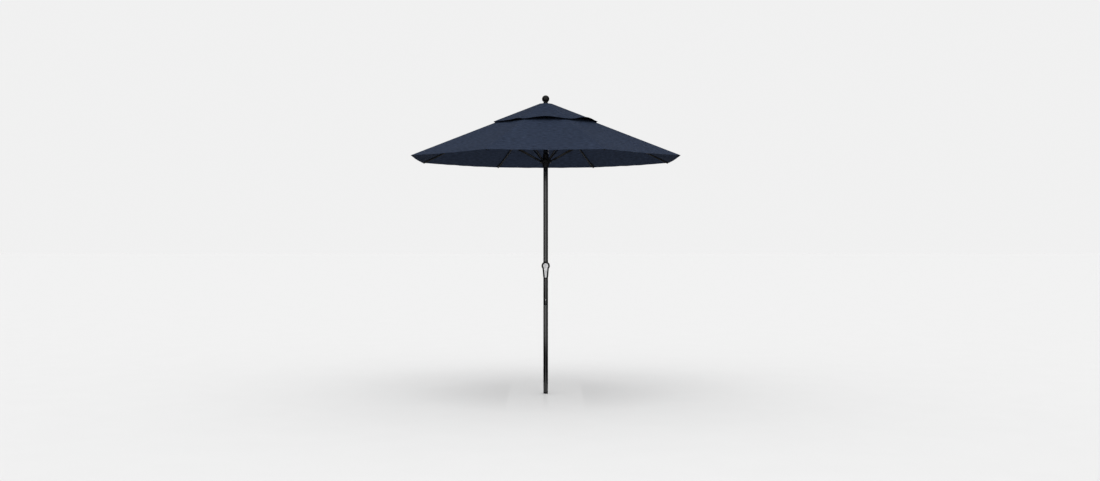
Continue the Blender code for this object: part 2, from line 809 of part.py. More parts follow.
# ---- runner --------------------------------------------------------------------------------
def make_runner():
    groove = RING_WIRE_R + GAP
    z = RUNNER_PIVOT_Z
    profile = [
        (RUNNER_SLEEVE_R - SLEEVE_CHAMFER, z + RUNNER_SLEEVE_UP),
        (RUNNER_SLEEVE_R, z + RUNNER_SLEEVE_UP - SLEEVE_CHAMFER),
        (RUNNER_SLEEVE_R, z + RUNNER_TOP),
        (RUNNER_R - RUNNER_CHAMFER, z + RUNNER_TOP),
        (RUNNER_R, z + RUNNER_TOP - RUNNER_CHAMFER),
        (RUNNER_R, z - RUNNER_BOTTOM + RUNNER_CHAMFER),
        (RUNNER_R - RUNNER_CHAMFER, z - RUNNER_BOTTOM),
        (PIVOT_R + groove, z - RUNNER_BOTTOM),
        (PIVOT_R + groove, z + groove),
        (PIVOT_R - groove, z + groove),
        (PIVOT_R - groove, z - RUNNER_BOTTOM),
        (RUNNER_FUNNEL_R, z - RUNNER_BOTTOM - FUNNEL_STEP),
        (RUNNER_NECK_R, z - RUNNER_SLEEVE_DOWN),
        (RUNNER_BORE, z - RUNNER_SLEEVE_DOWN),
        (RUNNER_BORE, z + RUNNER_SLEEVE_UP),
    ]
    runner = turned("runner_body", profile, WIDE_ROUND, closed=True)
    slots = radial_slots(z - SLOT_FLOOR, z + RUNNER_TOP + PAST, HUB_CORE_R, RUNNER_R + PAST)
    axis = bpy.data.objects.new("runner_axis", None)
    link(axis, PARTS)
    axis.matrix_world = about_z(RIB_ANGLES[0]) @ shift(PIVOT_R, 0, z)
    bpy.context.view_layer.update()
    whole = finish_part(combine(runner, slots, "DIFFERENCE"), "runner", BLACK_PLASTIC)
    wire = finish_part(ring_wire("runner_wire", PIVOT_R, z), "runner_ring", GREY_METAL)
    for obj in (whole, wire):
        obj.parent = axis
        obj.matrix_parent_inverse = axis.matrix_world.inverted()


# ---- crank ---------------------------------------------------------------------------------
def keyhole(z, head_r, neck_r, tail_r, tail):
    """A round head at height z with a body that narrows from neck_r to tail_r below it."""
    lean = math.asin((neck_r - tail_r) / tail)
    dip = lean + math.acos(neck_r / head_r)
    points = []
    for i in range(CRANK_SIDES + 1):
        a = -dip + (math.pi + 2 * dip) * i / CRANK_SIDES
        points.append((head_r * math.cos(a), z + head_r * math.sin(a)))
    for i in range(BAR_SIDES + 1):
        a = math.pi + lean + (math.pi - 2 * lean) * i / BAR_SIDES
        points.append((tail_r * math.cos(a), z - tail + tail_r * math.sin(a)))
    return points


def housing_outline(inset):
    return keyhole(
        CRANK_Z, HOUSING_R - inset, HOUSING_NECK_R - inset, HOUSING_TAIL_R - inset, HOUSING_TAIL
    )


def make_housing(name, near, far, toward):
    """One shell of the crank housing, from y = near to y = far, open at near."""
    deep = abs(far - near)
    shell = plate(name, housing_outline(0.0), [], deep)
    moved(shell, shift(0, (near + far) / 2, 0))
    hollow = plate("hollow", housing_outline(HOUSING_WALL), [], deep)
    moved(hollow, shift(0, (near + far) / 2 - toward * HOUSING_WALL, 0))
    low = CRANK_Z - HOUSING_TAIL - HOUSING_TAIL_R - PAST
    pole = rod("pole_bore", POLE_R + GAP, low, CRANK_Z + HOUSING_R + PAST, ROUND)
    shaft = rod("shaft_bore", SHAFT_R + PIN_GAP, -HOUSING_FRONT - PAST, HOUSING_FRONT + PAST)
    moved(shaft, shift(0, 0, CRANK_Z) @ ALONG_Y)
    finish_part(combine(shell, [hollow, pole, shaft], "DIFFERENCE"), name, BLACK_PLASTIC)


def make_crank():
    make_housing("crank_housing_front", -GAP / 2, -HOUSING_FRONT, -1)
    make_housing("crank_housing_rear", GAP / 2, HOUSING_REAR, 1)
    arm_back = HOUSING_FRONT + RUN_GAP
    arm_front = arm_back + HANDLE_T
    axis = shift(0, 0, CRANK_Z) @ FRONTWARD
    spool = turned(
        "spool",
        [
            (0.0, arm_back - GAP),
            (SHAFT_R, arm_back - GAP),
            (SHAFT_R, DRUM_HALF),
            (DRUM_FLANGE_R, DRUM_HALF),
            (DRUM_FLANGE_R, DRUM_HALF - FLANGE_T),
            (DRUM_R - GAP, DRUM_HALF - FLANGE_T),
            (DRUM_R - GAP, FLANGE_T - DRUM_HALF),
            (DRUM_FLANGE_R, FLANGE_T - DRUM_HALF),
            (DRUM_FLANGE_R, -DRUM_HALF),
            (SHAFT_R, -DRUM_HALF),
            (SHAFT_R, SHAFT_INSET - HOUSING_REAR),
            (0.0, SHAFT_INSET - HOUSING_REAR),
        ],
    )
    finish_part(spool, "cord_spool", GREY_METAL, axis)

    reach = -HANDLE_REACH
    arm = plate(
        "arm",
        keyhole(0.0, HANDLE_BOSS_R, HANDLE_NECK_R, HANDLE_TIP_R, HANDLE_REACH),
        [],
        HANDLE_T,
    )
    moved(arm, shift(0, -(arm_back + arm_front) / 2, 0))
    boss = rod("boss", HUB_CAP_R, arm_front - LUG_INSET, arm_front + HUB_CAP_T, ROUND)
    moved(boss, FRONTWARD)
    pin = rod("pin", KNOB_PIN_R, arm_front - LUG_INSET, arm_front + KNOB_LENGTH - KNOB_PIN_SHORT)
    moved(pin, shift(0, 0, reach) @ FRONTWARD)
    handle = combine(arm, [boss, pin], "UNION")
    finish_part(handle, "crank_handle", SILVER_PLASTIC, shift(0, 0, CRANK_Z))

    base = arm_front + RUN_GAP
    bore = KNOB_PIN_R + PIN_GAP
    knob = turned(
        "knob",
        [
            (0.0, base + KNOB_LENGTH),
            (KNOB_END_R, base + KNOB_LENGTH - KNOB_CROWN),
            (KNOB_R, base + KNOB_LENGTH - KNOB_ROUND),
            (KNOB_WAIST_R, base + KNOB_LENGTH / 2),
            (KNOB_R, base + KNOB_ROUND),
            (KNOB_FOOT_R, base),
            (bore, base),
            (bore, base + KNOB_LENGTH - KNOB_CAP),
            (0.0, base + KNOB_LENGTH - KNOB_CAP),
        ],
        KNOB_ROUND_STEPS,
    )
    placed = shift(0, 0, CRANK_Z + reach) @ FRONTWARD
    finish_part(knob, "crank_knob", SILVER_PLASTIC, placed)


def make_cord():
    """From the drum up inside the pole, over the pulley and down to the runner's sleeve."""
    anchor = (RUNNER_SLEEVE_R - CORD_R, 0, RUNNER_PIVOT_Z + RUNNER_SLEEVE_UP + GAP)
    points = [(CORD_X, 0, CRANK_Z), (CORD_X, 0, (CRANK_Z + PULLEY_Z) / 2)]
    for i in range(CORD_BENDS + 1):
        a = math.pi * (1 - i / CORD_BENDS)
        points.append(
            (
                PULLEY_X + PULLEY_PITCH_R * math.cos(a),
                0,
                PULLEY_Z + PULLEY_PITCH_R * math.sin(a),
            )
        )
    points.append(anchor)
    curve = bpy.data.curves.new("cord", "CURVE")
    curve.dimensions = "3D"
    curve.bevel_depth = CORD_R
    curve.bevel_resolution = 2
    curve.resolution_u = 1
    curve.use_fill_caps = True
    spline = curve.splines.new("POLY")
    spline.points.add(len(points) - 1)
    for point, co in zip(spline.points, points):
        point.co = (*co, 1.0)
    mesh = baked(link(bpy.data.objects.new("cord", curve), PARTS))
    work = bmesh.new()
    work.from_mesh(mesh)
    bmesh.ops.remove_doubles(work, verts=work.verts, dist=0.00001)
    work.to_mesh(mesh)
    work.free()
    mesh.materials.clear()
    place("lift_cord", smooth(mesh), WHITE_CORD)


make_pole()
make_snap_button()
make_hub()
make_finial()
make_pulley()
make_frame_and_canopy()
make_runner()
make_crank()
make_cord()
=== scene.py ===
"""Looks of the crank-lift patio umbrella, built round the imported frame. Metres, +Z up, crank towards -Y."""

import json
import math

import bmesh
import bpy
import numpy as np
from mathutils import Matrix, Vector, noise


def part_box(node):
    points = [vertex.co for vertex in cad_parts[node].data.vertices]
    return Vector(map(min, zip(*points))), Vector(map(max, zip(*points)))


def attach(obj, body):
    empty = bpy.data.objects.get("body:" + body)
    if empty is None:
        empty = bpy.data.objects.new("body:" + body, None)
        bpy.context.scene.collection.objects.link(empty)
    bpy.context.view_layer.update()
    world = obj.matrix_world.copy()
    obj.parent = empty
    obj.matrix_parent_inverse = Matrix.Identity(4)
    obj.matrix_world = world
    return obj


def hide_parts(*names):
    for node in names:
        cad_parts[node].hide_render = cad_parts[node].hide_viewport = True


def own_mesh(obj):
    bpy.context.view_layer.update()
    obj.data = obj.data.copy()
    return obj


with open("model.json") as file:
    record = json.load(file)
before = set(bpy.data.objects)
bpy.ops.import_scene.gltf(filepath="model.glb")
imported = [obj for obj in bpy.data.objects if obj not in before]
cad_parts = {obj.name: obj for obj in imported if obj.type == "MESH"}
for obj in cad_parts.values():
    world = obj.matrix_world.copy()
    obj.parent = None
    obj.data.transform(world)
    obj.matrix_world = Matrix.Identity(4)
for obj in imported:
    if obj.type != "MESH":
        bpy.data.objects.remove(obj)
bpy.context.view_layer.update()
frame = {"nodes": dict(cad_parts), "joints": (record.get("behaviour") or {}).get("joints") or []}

# ---- sizes ---------------------------------------------------------------------------------
RIBS = 8
HALF_STEP = math.pi / RIBS
CLOTH_T = 0.0007
PROUD = 0.0004
RIB_R = 0.0060
STRUT_R = 0.0052
FLAT_HALF = 0.0021
EYE_HOLE_R = 0.0018
PIN_R = 0.0020
EAR_HALF_GAP = 0.0030
EAR_T = 0.0020
EYE_R = 0.0045
KNUCKLE_LENGTH = 0.044
SOCKET_GRIP = 0.004
THREAD_PITCH = 0.0016
STITCH_PITCH = 0.0042
SLOT_HALF = 0.0031
WHEEL_GAP = 0.0025
SHAFT_HOLE_R = 0.0044
DRUM_HOLE_R = 0.0133
POLE_ROUND = 64
TUBE_ROUND = 24

JOINTS = {j["name"]: j for j in frame["joints"]}
PIVOT = Vector(JOINTS["canopy_fold"]["pos_m"])
KNEE = Vector(JOINTS["strut_1_fold"]["pos_m"])
SLIDE = Vector(JOINTS["runner_level"]["pos_m"])
CRANK = Vector(JOINTS["crank_turn"]["pos_m"])
KNOB = Vector(JOINTS["knob_spin"]["pos_m"])
PIVOT_R = math.hypot(PIVOT.x, PIVOT.y)
KNEE_R = math.hypot(KNEE.x, KNEE.y)
LINK_PITCH = math.atan2(PIVOT.z - KNEE.z, KNEE_R - PIVOT_R)
LINK = (PIVOT.z - KNEE.z) / math.sin(LINK_PITCH)


def node_points(node):
    """A CAD node's vertices in the row frame."""
    return np.array([v.co for v in frame["nodes"][node].data.vertices], float)


def ridge(node, angle):
    """The cloth's upper face on its rib: its first and last (radius, height)."""
    points = node_points(node)
    across = points[:, 1] * math.cos(angle) - points[:, 0] * math.sin(angle)
    on_rib = points[np.abs(across) < 1e-4]
    radius = np.hypot(on_rib[:, 0], on_rib[:, 1])
    ends = []
    for r in (radius.min(), radius.max()):
        near = on_rib[np.abs(radius - r) < 0.002]
        ends.append((float(r), float(near[:, 2].max())))
    return ends


RIB_ANGLES = [(2 * i + 1) * HALF_STEP for i in range(RIBS)]
MAIN_IN, MAIN_OUT = ridge("canopy_1", RIB_ANGLES[0])
CAP_IN, CAP_OUT = ridge("vent_cap_1", RIB_ANGLES[0])
SLOPE = (MAIN_IN[1] - MAIN_OUT[1]) / (MAIN_OUT[0] - MAIN_IN[0])
PITCH = math.atan(SLOPE)


# ---- node materials ------------------------------------------------------------------------
class Nodes:
    """A short way to write a node tree."""

    def __init__(self, name):
        self.material = bpy.data.materials.new(name)
        self.material.use_nodes = True
        self.tree = self.material.node_tree
        self.shader = self.tree.nodes["Principled BSDF"]

    def add(self, kind, inputs=None, **settings):
        node = self.tree.nodes.new(kind)
        for key, value in settings.items():
            setattr(node, key, value)
        for key, value in (inputs or {}).items():
            socket = node.inputs[key]
            if isinstance(value, bpy.types.NodeSocket):
                self.tree.links.new(value, socket)
            else:
                socket.default_value = value
        return node

    def maths(self, operation, a, b=0.0):
        return self.add("ShaderNodeMath", {0: a, 1: b}, operation=operation).outputs[0]

    def ramp(self, value, low, high, start=0.0, end=1.0):
        """Maps value from start..end to low..high colours or greys."""
        node = self.add("ShaderNodeValToRGB", {"Fac": value})
        stops = node.color_ramp.elements
        stops[0].position = start
        stops[0].color = (*low, 1.0)
        stops[1].position = end
        stops[1].color = (*high, 1.0)
        return node.outputs["Color"]

    def noise(self, vector, scale, detail=3.0, roughness=0.5):
        inputs = {"Vector": vector, "Scale": scale, "Detail": detail, "Roughness": roughness}
        return self.add("ShaderNodeTexNoise", inputs).outputs["Fac"]

    def scaled(self, vector, size):
        return self.add("ShaderNodeMapping", {"Vector": vector, "Scale": size}).outputs["Vector"]

    def place(self):
        return self.add("ShaderNodeTexCoord").outputs["Object"]

    def bump(self, height, distance, strength):
        inputs = {"Height": height, "Distance": distance, "Strength": strength}
        return self.add("ShaderNodeBump", inputs).outputs["Normal"]

    def set(self, **values):
        for key, value in values.items():
            socket = self.shader.inputs[key.replace("_", " ").title().replace("Ior", "IOR")]
            if isinstance(value, bpy.types.NodeSocket):
                self.tree.links.new(value, socket)
            elif isinstance(value, tuple):
                socket.default_value = (*value, 1.0)
            else:
                socket.default_value = value
        return self.material


def grey(value):
    return (value, value, value)


def scaled_colour(colour, factor):
    return tuple(min(1.0, c * factor) for c in colour)


def cloth_material(name, colour, light=1.0):
    """Woven solution-dyed cloth: plain weave, slubs along the weft and soft tone drift."""
    n = Nodes(name)
    uv = n.add("ShaderNodeUVMap", uv_map="panel").outputs["UV"]
    parts = n.add("ShaderNodeSeparateXYZ", {"Vector": uv})
    across, along = parts.outputs["X"], parts.outputs["Y"]
    thread = 2 * math.pi / THREAD_PITCH
    warp = n.maths("SINE", n.maths("MULTIPLY", across, thread))
    weft = n.maths("SINE", n.maths("MULTIPLY", along, thread))
    weave = n.maths("MULTIPLY", warp, weft)
    slub = n.noise(n.scaled(uv, (26.0, 64.0, 1.0)), 1.0, 1.2, 0.45)
    slub_up = n.noise(n.scaled(uv, (190.0, 40.0, 1.0)), 1.0, 2.0, 0.6)
    drift = n.noise(uv, 2.2, 2.0)
    tone = n.maths("ADD", n.maths("MULTIPLY", slub, 0.75), n.maths("MULTIPLY", slub_up, 0.25))
    tone = n.maths("ADD", tone, n.maths("MULTIPLY", drift, 0.16))
    tone = n.maths("ADD", tone, n.maths("MULTIPLY", weave, 0.02))
    base = scaled_colour(colour, light)
    ramp = n.ramp(tone, scaled_colour(base, 0.68), scaled_colour(base, 1.42), 0.38, 0.80)
    height = n.maths("ADD", n.maths("MULTIPLY", weave, 0.35), n.maths("MULTIPLY", slub, 0.65))
    rough = n.ramp(slub_up, grey(0.80), grey(0.95))
    return n.set(
        base_color=ramp,
        roughness=rough,
        specular_ior_level=0.02,
        normal=n.bump(height, 0.0005, 0.7),
    )


def stitched_material(name, colour, rows):
    """Cloth tape with rows of lockstitch. u runs across it from -1 to 1, v along it in metres."""
    n = Nodes(name)
    uv = n.add("ShaderNodeUVMap", uv_map="panel").outputs["UV"]
    parts = n.add("ShaderNodeSeparateXYZ", {"Vector": uv})
    across, along = parts.outputs["X"], parts.outputs["Y"]
    thread = 2 * math.pi / THREAD_PITCH
    slanted = n.maths("ADD", along, n.maths("MULTIPLY", across, 0.004))
    twill = n.maths("SINE", n.maths("MULTIPLY", slanted, thread))
    stitch = None
    for row in rows:
        off = n.maths("ABSOLUTE", n.maths("SUBTRACT", across, row))
        near = n.maths("LESS_THAN", off, 0.07)
        beat = n.maths("SINE", n.maths("MULTIPLY", along, 2 * math.pi / STITCH_PITCH))
        dash = n.maths("GREATER_THAN", beat, -0.35)
        one = n.maths("MULTIPLY", near, dash)
        stitch = one if stitch is None else n.maths("MAXIMUM", stitch, one)
    slub = n.noise(n.scaled(uv, (2.0, 300.0, 1.0)), 1.0, 2.0)
    base = n.ramp(slub, scaled_colour(colour, 0.8), scaled_colour(colour, 1.2), 0.3, 0.7)
    bright = (*scaled_colour(colour, 1.5), 1.0)
    layers = {"Factor": stitch, "A": base, "B": bright}
    mixed = n.add("ShaderNodeMix", layers, data_type="RGBA")
    height = n.maths("ADD", n.maths("MULTIPLY", stitch, 1.0), n.maths("MULTIPLY", twill, 0.15))
    return n.set(
        base_color=mixed.outputs["Result"],
        roughness=n.ramp(slub, grey(0.78), grey(0.92)),
        specular_ior_level=0.02,
        normal=n.bump(height, 0.0004, 0.8),
    )


def paint_material(name, colour, rough, shine):
    """Powder coat: orange peel, faint dust and slightly duller patches."""
    n = Nodes(name)
    at = n.place()
    peel = n.noise(at, 900.0, 2.0)
    patch = n.noise(n.scaled(at, (9.0, 9.0, 3.0)), 1.0, 4.0)
    dust = n.noise(at, 160.0, 4.0, 0.7)
    shade = n.maths("ADD", n.maths("MULTIPLY", patch, 0.6), n.maths("MULTIPLY", dust, 0.4))
    tone = n.ramp(shade, scaled_colour(colour, 0.8), scaled_colour(colour, 1.35), 0.35, 0.75)
    return n.set(
        base_color=tone,
        roughness=n.ramp(shade, grey(rough * 0.85), grey(rough * 1.35), 0.3, 0.75),
        specular_ior_level=shine,
        normal=n.bump(peel, 0.00003, 0.25),
    )


def plastic_material(name, colour, rough, grain=700.0, depth=0.00012, shine=0.14):
    """Moulded plastic with a fine spark-eroded grain and rubbed patches."""
    n = Nodes(name)
    at = n.place()
    fine = n.noise(at, grain, 3.0, 0.65)
    patch = n.noise(at, 24.0, 4.0)
    tone = n.ramp(patch, scaled_colour(colour, 0.85), scaled_colour(colour, 1.25), 0.35, 0.7)
    return n.set(
        base_color=tone,
        roughness=n.ramp(patch, grey(rough * 0.85), grey(min(1.0, rough * 1.2)), 0.35, 0.7),
        specular_ior_level=shine,
        normal=n.bump(fine, depth, 0.5),
    )


def metal_material(name, colour, rough):
    """Plated or brushed metal with fine streaks and faint tarnish."""
    n = Nodes(name)
    at = n.place()
    lines = n.noise(n.scaled(at, (30.0, 30.0, 900.0)), 1.0, 3.0)
    cloud = n.noise(at, 60.0, 4.0)
    tone = n.ramp(cloud, scaled_colour(colour, 0.82), scaled_colour(colour, 1.08), 0.3, 0.7)
    return n.set(
        base_color=tone,
        metallic=1.0,
        roughness=n.ramp(lines, grey(rough * 0.75), grey(min(1.0, rough * 1.3)), 0.3, 0.7),
        normal=n.bump(lines, 0.00004, 0.4),
    )


def cord_material(name, colour):
    """Braided cord: two crossing diagonals."""
    n = Nodes(name)
    at = n.add("ShaderNodeSeparateXYZ", {"Vector": n.place()})
    turn = n.maths("MULTIPLY", n.maths("ADD", at.outputs["X"], at.outputs["Y"]), 2 * math.pi / 0.0022)
    rise = n.maths("MULTIPLY", at.outputs["Z"], 2 * math.pi / 0.0030)
    one = n.maths("SINE", n.maths("ADD", rise, turn))
    two = n.maths("SINE", n.maths("SUBTRACT", rise, turn))
    braid = n.maths("MAXIMUM", one, two)
    return n.set(
        base_color=n.ramp(braid, scaled_colour(colour, 0.55), colour, 0.2, 0.8),
        roughness=0.85,
        normal=n.bump(braid, 0.0003, 0.8),
    )


NAVY = (0.0225, 0.0315, 0.0550)
MAIN_CLOTH = cloth_material("navy_cloth", NAVY)
CAP_CLOTH = cloth_material("navy_cap_cloth", NAVY, 0.92)
# Painted shade: a darker copy of the navy cloth for the under faces of the canopy and cap, standing in for
# the shade beneath them.
PAINTED_SHADE_UNDER_CLOTH = cloth_material("navy_cloth_painted_under_shade", NAVY, 0.72)
SEAM_TAPE = stitched_material("navy_seam_tape", NAVY, (-0.62, 0.62))
HEM_TAPE = stitched_material("navy_hem_tape", scaled_colour(NAVY, 0.70), (0.55, 0.80))
POCKET_TAPE = stitched_material("black_pocket_tape", (0.012, 0.014, 0.020), (-0.8, 0.8))
POLE_PAINT = paint_material("gloss_black_pole", (0.0035, 0.0035, 0.0038), 0.16, 0.70)
RIB_PAINT = paint_material("bronze_rib_paint", (0.016, 0.0150, 0.0140), 0.42, 0.28)
BLACK_PLASTIC = plastic_material("black_plastic", (0.0060, 0.0060, 0.0065), 0.42)
BALL_PLASTIC = plastic_material("black_ball_plastic", (0.0060, 0.0060, 0.0065), 0.33, 500.0, 0.00006)
SILVER_PLASTIC = plastic_material("silver_plastic", (0.70, 0.70, 0.71), 0.34, 900.0, 0.00005, 0.5)
ZINC = metal_material("zinc_steel", (0.62, 0.62, 0.63), 0.34)
STEEL_BRIGHT = metal_material("bright_steel", (0.78, 0.78, 0.78), 0.22)
CORD = cord_material("braided_cord", (0.42, 0.42, 0.40))


# ---- mesh helpers --------------------------------------------------------------------------
def loose(name, mesh):
    obj = bpy.data.objects.new(name, mesh)
    bpy.context.scene.collection.objects.link(obj)
    return obj


def new_object(name, mesh, finish, body):
    mesh.materials.clear()
    mesh.materials.append(finish)
    obj = loose(name, mesh)
    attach(obj, body)
    return obj


def baked(obj):
    """The evaluated mesh of a loose object, moved to where the object stands. The object goes."""
    bpy.context.view_layer.update()
    view = bpy.context.evaluated_depsgraph_get()
    mesh = bpy.data.meshes.new_from_object(obj.evaluated_get(view))
    mesh.transform(obj.matrix_world)
    bpy.data.objects.remove(obj, do_unlink=True)
    return mesh


def smooth(mesh):
    mesh.shade_smooth()
    mesh.set_sharp_from_angle(angle=math.radians(38.0))
    return mesh


def filleted(corners, steps=4):
    """A profile from (radius, height, fillet) corners, each fillet an arc of a few points."""
    points = []
    last = len(corners) - 1
    for i, (x, z, size) in enumerate(corners):
        here = Vector((x, z))
        if size <= 0 or i in (0, last):
            points.append((x, z))
            continue
        back = Vector(corners[i - 1][:2]) - here
        on = Vector(corners[i + 1][:2]) - here
        size = min(size, back.length * 0.49, on.length * 0.49)
        a = here + back.normalized() * size
        b = here + on.normalized() * size
        for k in range(steps + 1):
            t = k / steps
            point = a * (1 - t) ** 2 + here * 2 * t * (1 - t) + b * t**2
            points.append((point.x, point.y))
    return points


def lathe(profile, steps=POLE_ROUND, closed=False):
    """A turned mesh about Z from a profile that runs top to bottom on its outer side."""
    mesh = bpy.data.meshes.new("lathe")
    edges = [(i, i + 1) for i in range(len(profile) - 1)]
    if closed:
        edges.append((len(profile) - 1, 0))
    mesh.from_pydata([(r, 0.0, z) for r, z in profile], edges, [])
    obj = loose("lathe", mesh)
    screw = obj.modifiers.new("turn", "SCREW")
    screw.steps = steps
    screw.render_steps = steps
    screw.use_merge_vertices = True
    screw.merge_threshold = 0.000005
    return smooth(baked(obj))


def cut(mesh, cutters, operation="DIFFERENCE"):
    """A mesh after Booleans with other meshes."""
    obj = loose("body", mesh)
    tools = [loose("cutter", other) for other in cutters]
    for tool in tools:
        step = obj.modifiers.new("boolean", "BOOLEAN")
        step.operation = operation
        step.solver = "EXACT"
        step.object = tool
    result = baked(obj)
    for tool in tools:
        bpy.data.objects.remove(tool, do_unlink=True)
    return smooth(result)


def bevelled(mesh, width, segments=3, degrees=40.0):
    obj = loose("bevel", mesh)
    edge = obj.modifiers.new("edges", "BEVEL")
    edge.width = width
    edge.segments = segments
    edge.limit_method = "ANGLE"
    edge.angle_limit = math.radians(degrees)
    edge.harden_normals = False
    return smooth(baked(obj))


def block(low, high):
    mesh = bpy.data.meshes.new("block")
    work = bmesh.new()
    bmesh.ops.create_cube(work, size=1.0)
    low, high = Vector(low), Vector(high)
    bmesh.ops.scale(work, vec=high - low, verts=work.verts)
    bmesh.ops.translate(work, vec=(high + low) / 2, verts=work.verts)
    work.to_mesh(mesh)
    work.free()
    return mesh


def plate(outline, thickness, holes=()):
    """A flat outline in X and Z, with thickness along Y."""
    curve = bpy.data.curves.new("plate", "CURVE")
    curve.dimensions = "2D"
    curve.fill_mode = "BOTH"
    curve.extrude = thickness / 2
    for loop in [outline, *holes]:
        spline = curve.splines.new("POLY")
        spline.points.add(len(loop) - 1)
        for point, (x, z) in zip(spline.points, loop):
            point.co = (x, z, 0.0, 1.0)
        spline.use_cyclic_u = True
    mesh = baked(loose("plate", curve))
    work = bmesh.new()
    work.from_mesh(mesh)
    bmesh.ops.remove_doubles(work, verts=work.verts, dist=0.000005)
    bmesh.ops.rotate(work, matrix=Matrix.Rotation(math.pi / 2, 3, "X"), verts=work.verts)
    bmesh.ops.recalc_face_normals(work, faces=work.faces)
    work.to_mesh(mesh)
    work.free()
    return mesh


def circle(x, z, radius, sides=24):
    turn = 2 * math.pi / sides
    return [(x + radius * math.cos(turn * i), z + radius * math.sin(turn * i)) for i in range(sides)]


def bar_outline(start, r_start, end, r_end, sides=12):
    """The outline round two circles with (x, z) centres."""
    dx, dz = start[0] - end[0], start[1] - end[1]
    length = math.hypot(dx, dz)
    facing = math.atan2(dz, dx)
    half = math.pi / 2 + math.asin((r_start - r_end) / length)
    points = []
    for i in range(sides + 1):
        a = facing - half + 2 * half * i / sides
        points.append((start[0] + r_start * math.cos(a), start[1] + r_start * math.sin(a)))
    rest = math.pi - half
    for i in range(sides + 1):
        a = facing + math.pi - rest + 2 * rest * i / sides
        points.append((end[0] + r_end * math.cos(a), end[1] + r_end * math.sin(a)))
    return points


def joined(meshes):
    """Several meshes as one."""
    mesh = bpy.data.meshes.new("joined")
    work = bmesh.new()
    for part in meshes:
        work.from_mesh(part)
    work.to_mesh(mesh)
    work.free()
    return smooth(mesh)


def moved(mesh, matrix):
    mesh.transform(matrix)
    return mesh


def about_y(angle):
    return Matrix.Rotation(angle, 4, "Y")


def about_z(angle):
    return Matrix.Rotation(angle, 4, "Z")


def shift(x, y, z):
    return Matrix.Translation((x, y, z))


FRONTWARD = Matrix.Rotation(math.pi / 2, 4, "X")
ALONG_X = Matrix.Rotation(math.pi / 2, 4, "Y")
ALONG_Y = Matrix.Rotation(-math.pi / 2, 4, "X")


# ---- cloth ---------------------------------------------------------------------------------
def grid_mesh(name, rows, uvs):
    """A sheet from rows of points, with a UV map in metres."""
    mesh = bpy.data.meshes.new(name)
    work = bmesh.new()
    layer = work.loops.layers.uv.new("panel")
    made = [[work.verts.new(p) for p in row] for row in rows]
    for i in range(len(rows) - 1):
        for j in range(len(rows[0]) - 1):
            corners = ((i, j), (i + 1, j), (i + 1, j + 1), (i, j + 1))
            face = work.faces.new([made[a][b] for a, b in corners])
            for loop, (a, b) in zip(face.loops, corners):
                loop[layer].uv = uvs[a][b]
    work.to_mesh(mesh)
    work.free()
    mesh.shade_smooth()
    return mesh


def panel_point(panel, r, s, rise):
    """A point of a panel at corner radius r, a share s of the way between its two ribs."""
    a = (2 * panel - 1) * HALF_STEP
    b = a + 2 * HALF_STEP
    x = r * ((1 - s) * math.cos(a) + s * math.cos(b))
    y = r * ((1 - s) * math.sin(a) + s * math.sin(b))
    return Vector((x, y, rise))


def main_rise(panel, r, s):
    """Height of the main cloth's upper face: straight on the ribs, slack between them."""
    span = (r - MAIN_IN[0]) / (MAIN_OUT[0] - MAIN_IN[0])
    line = MAIN_OUT[1] + SLOPE * (MAIN_OUT[0] - r)
    belly = math.sin(math.pi * s) ** 1.3
    sag = 0.0075 * belly * math.sin(math.pi * min(1.0, 0.12 + 0.68 * max(span, 0.0)))
    ripple = noise.noise(Vector((s * 7.0 + 3.1 * panel, r * 2.2, panel * 5.7)))
    pulls = math.sin(34.0 * s + 9.0 * r + panel) * math.exp(-((span - 1.0) / 0.22) ** 2)
    return line - sag + belly * (0.0016 * ripple + 0.0009 * pulls)


# How far the cap's hem lifts off the canopy on each panel, and where it lifts most.
LIFTS = {1: (0.012, 0.45), 2: (0.015, 0.55), 3: (0.010, 0.50), 4: (0.014, 0.42),
         5: (0.008, 0.80), 6: (0.019, 0.50), 7: (0.026, 0.62), 8: (0.013, 0.50)}


def cap_rise(panel, r, s):
    """Height of the vent cap's upper face: its hem bows up between the ribs."""
    span = (r - CAP_IN[0]) / (CAP_OUT[0] - CAP_IN[0])
    line = CAP_OUT[1] + (CAP_IN[1] - CAP_OUT[1]) * (1 - span)
    lift, peak = LIFTS[panel]
    power = math.log(0.5) / math.log(peak)
    bow = math.sin(math.pi * s**power) ** 1.4
    ripple = noise.noise(Vector((s * 6.0 + 1.7 * panel, r * 5.0, panel * 3.3)))
    start = max(0.0, (span - 0.45) / 0.55)
    return line + lift * bow * start**2 + 0.0012 * ripple * math.sin(math.pi * s) * span


def wing_rows(index, rise, inner, outer, rows, columns, width=None, drop=0.0):
    """Rows of points over two half panels that meet on rib index, and their UVs.

    width keeps only the cloth within that distance of the rib."""
    points, uvs = [], []
    for i in range(rows + 1):
        r = inner + (outer - inner) * i / rows
        edge = 2 * r * math.sin(HALF_STEP)
        reach = 0.5 if width is None else min(0.5, width / edge)
        row, uv_row = [], []
        for j in range(-columns, columns + 1):
            t = reach * abs(j) / columns
            panel = index if j >= 0 else (index - 2) % RIBS + 1
            s = t if j >= 0 else 1 - t
            point = panel_point(panel, r, s, rise(panel, r, s) - drop)
            row.append(point)
            if width is None:
                uv_row.append(((s - 0.5) * edge + 1.37 * panel, r / math.cos(PITCH)))
            else:
                uv_row.append((j / columns, r / math.cos(PITCH)))
        points.append(row)
        uvs.append(uv_row)
    return points, uvs


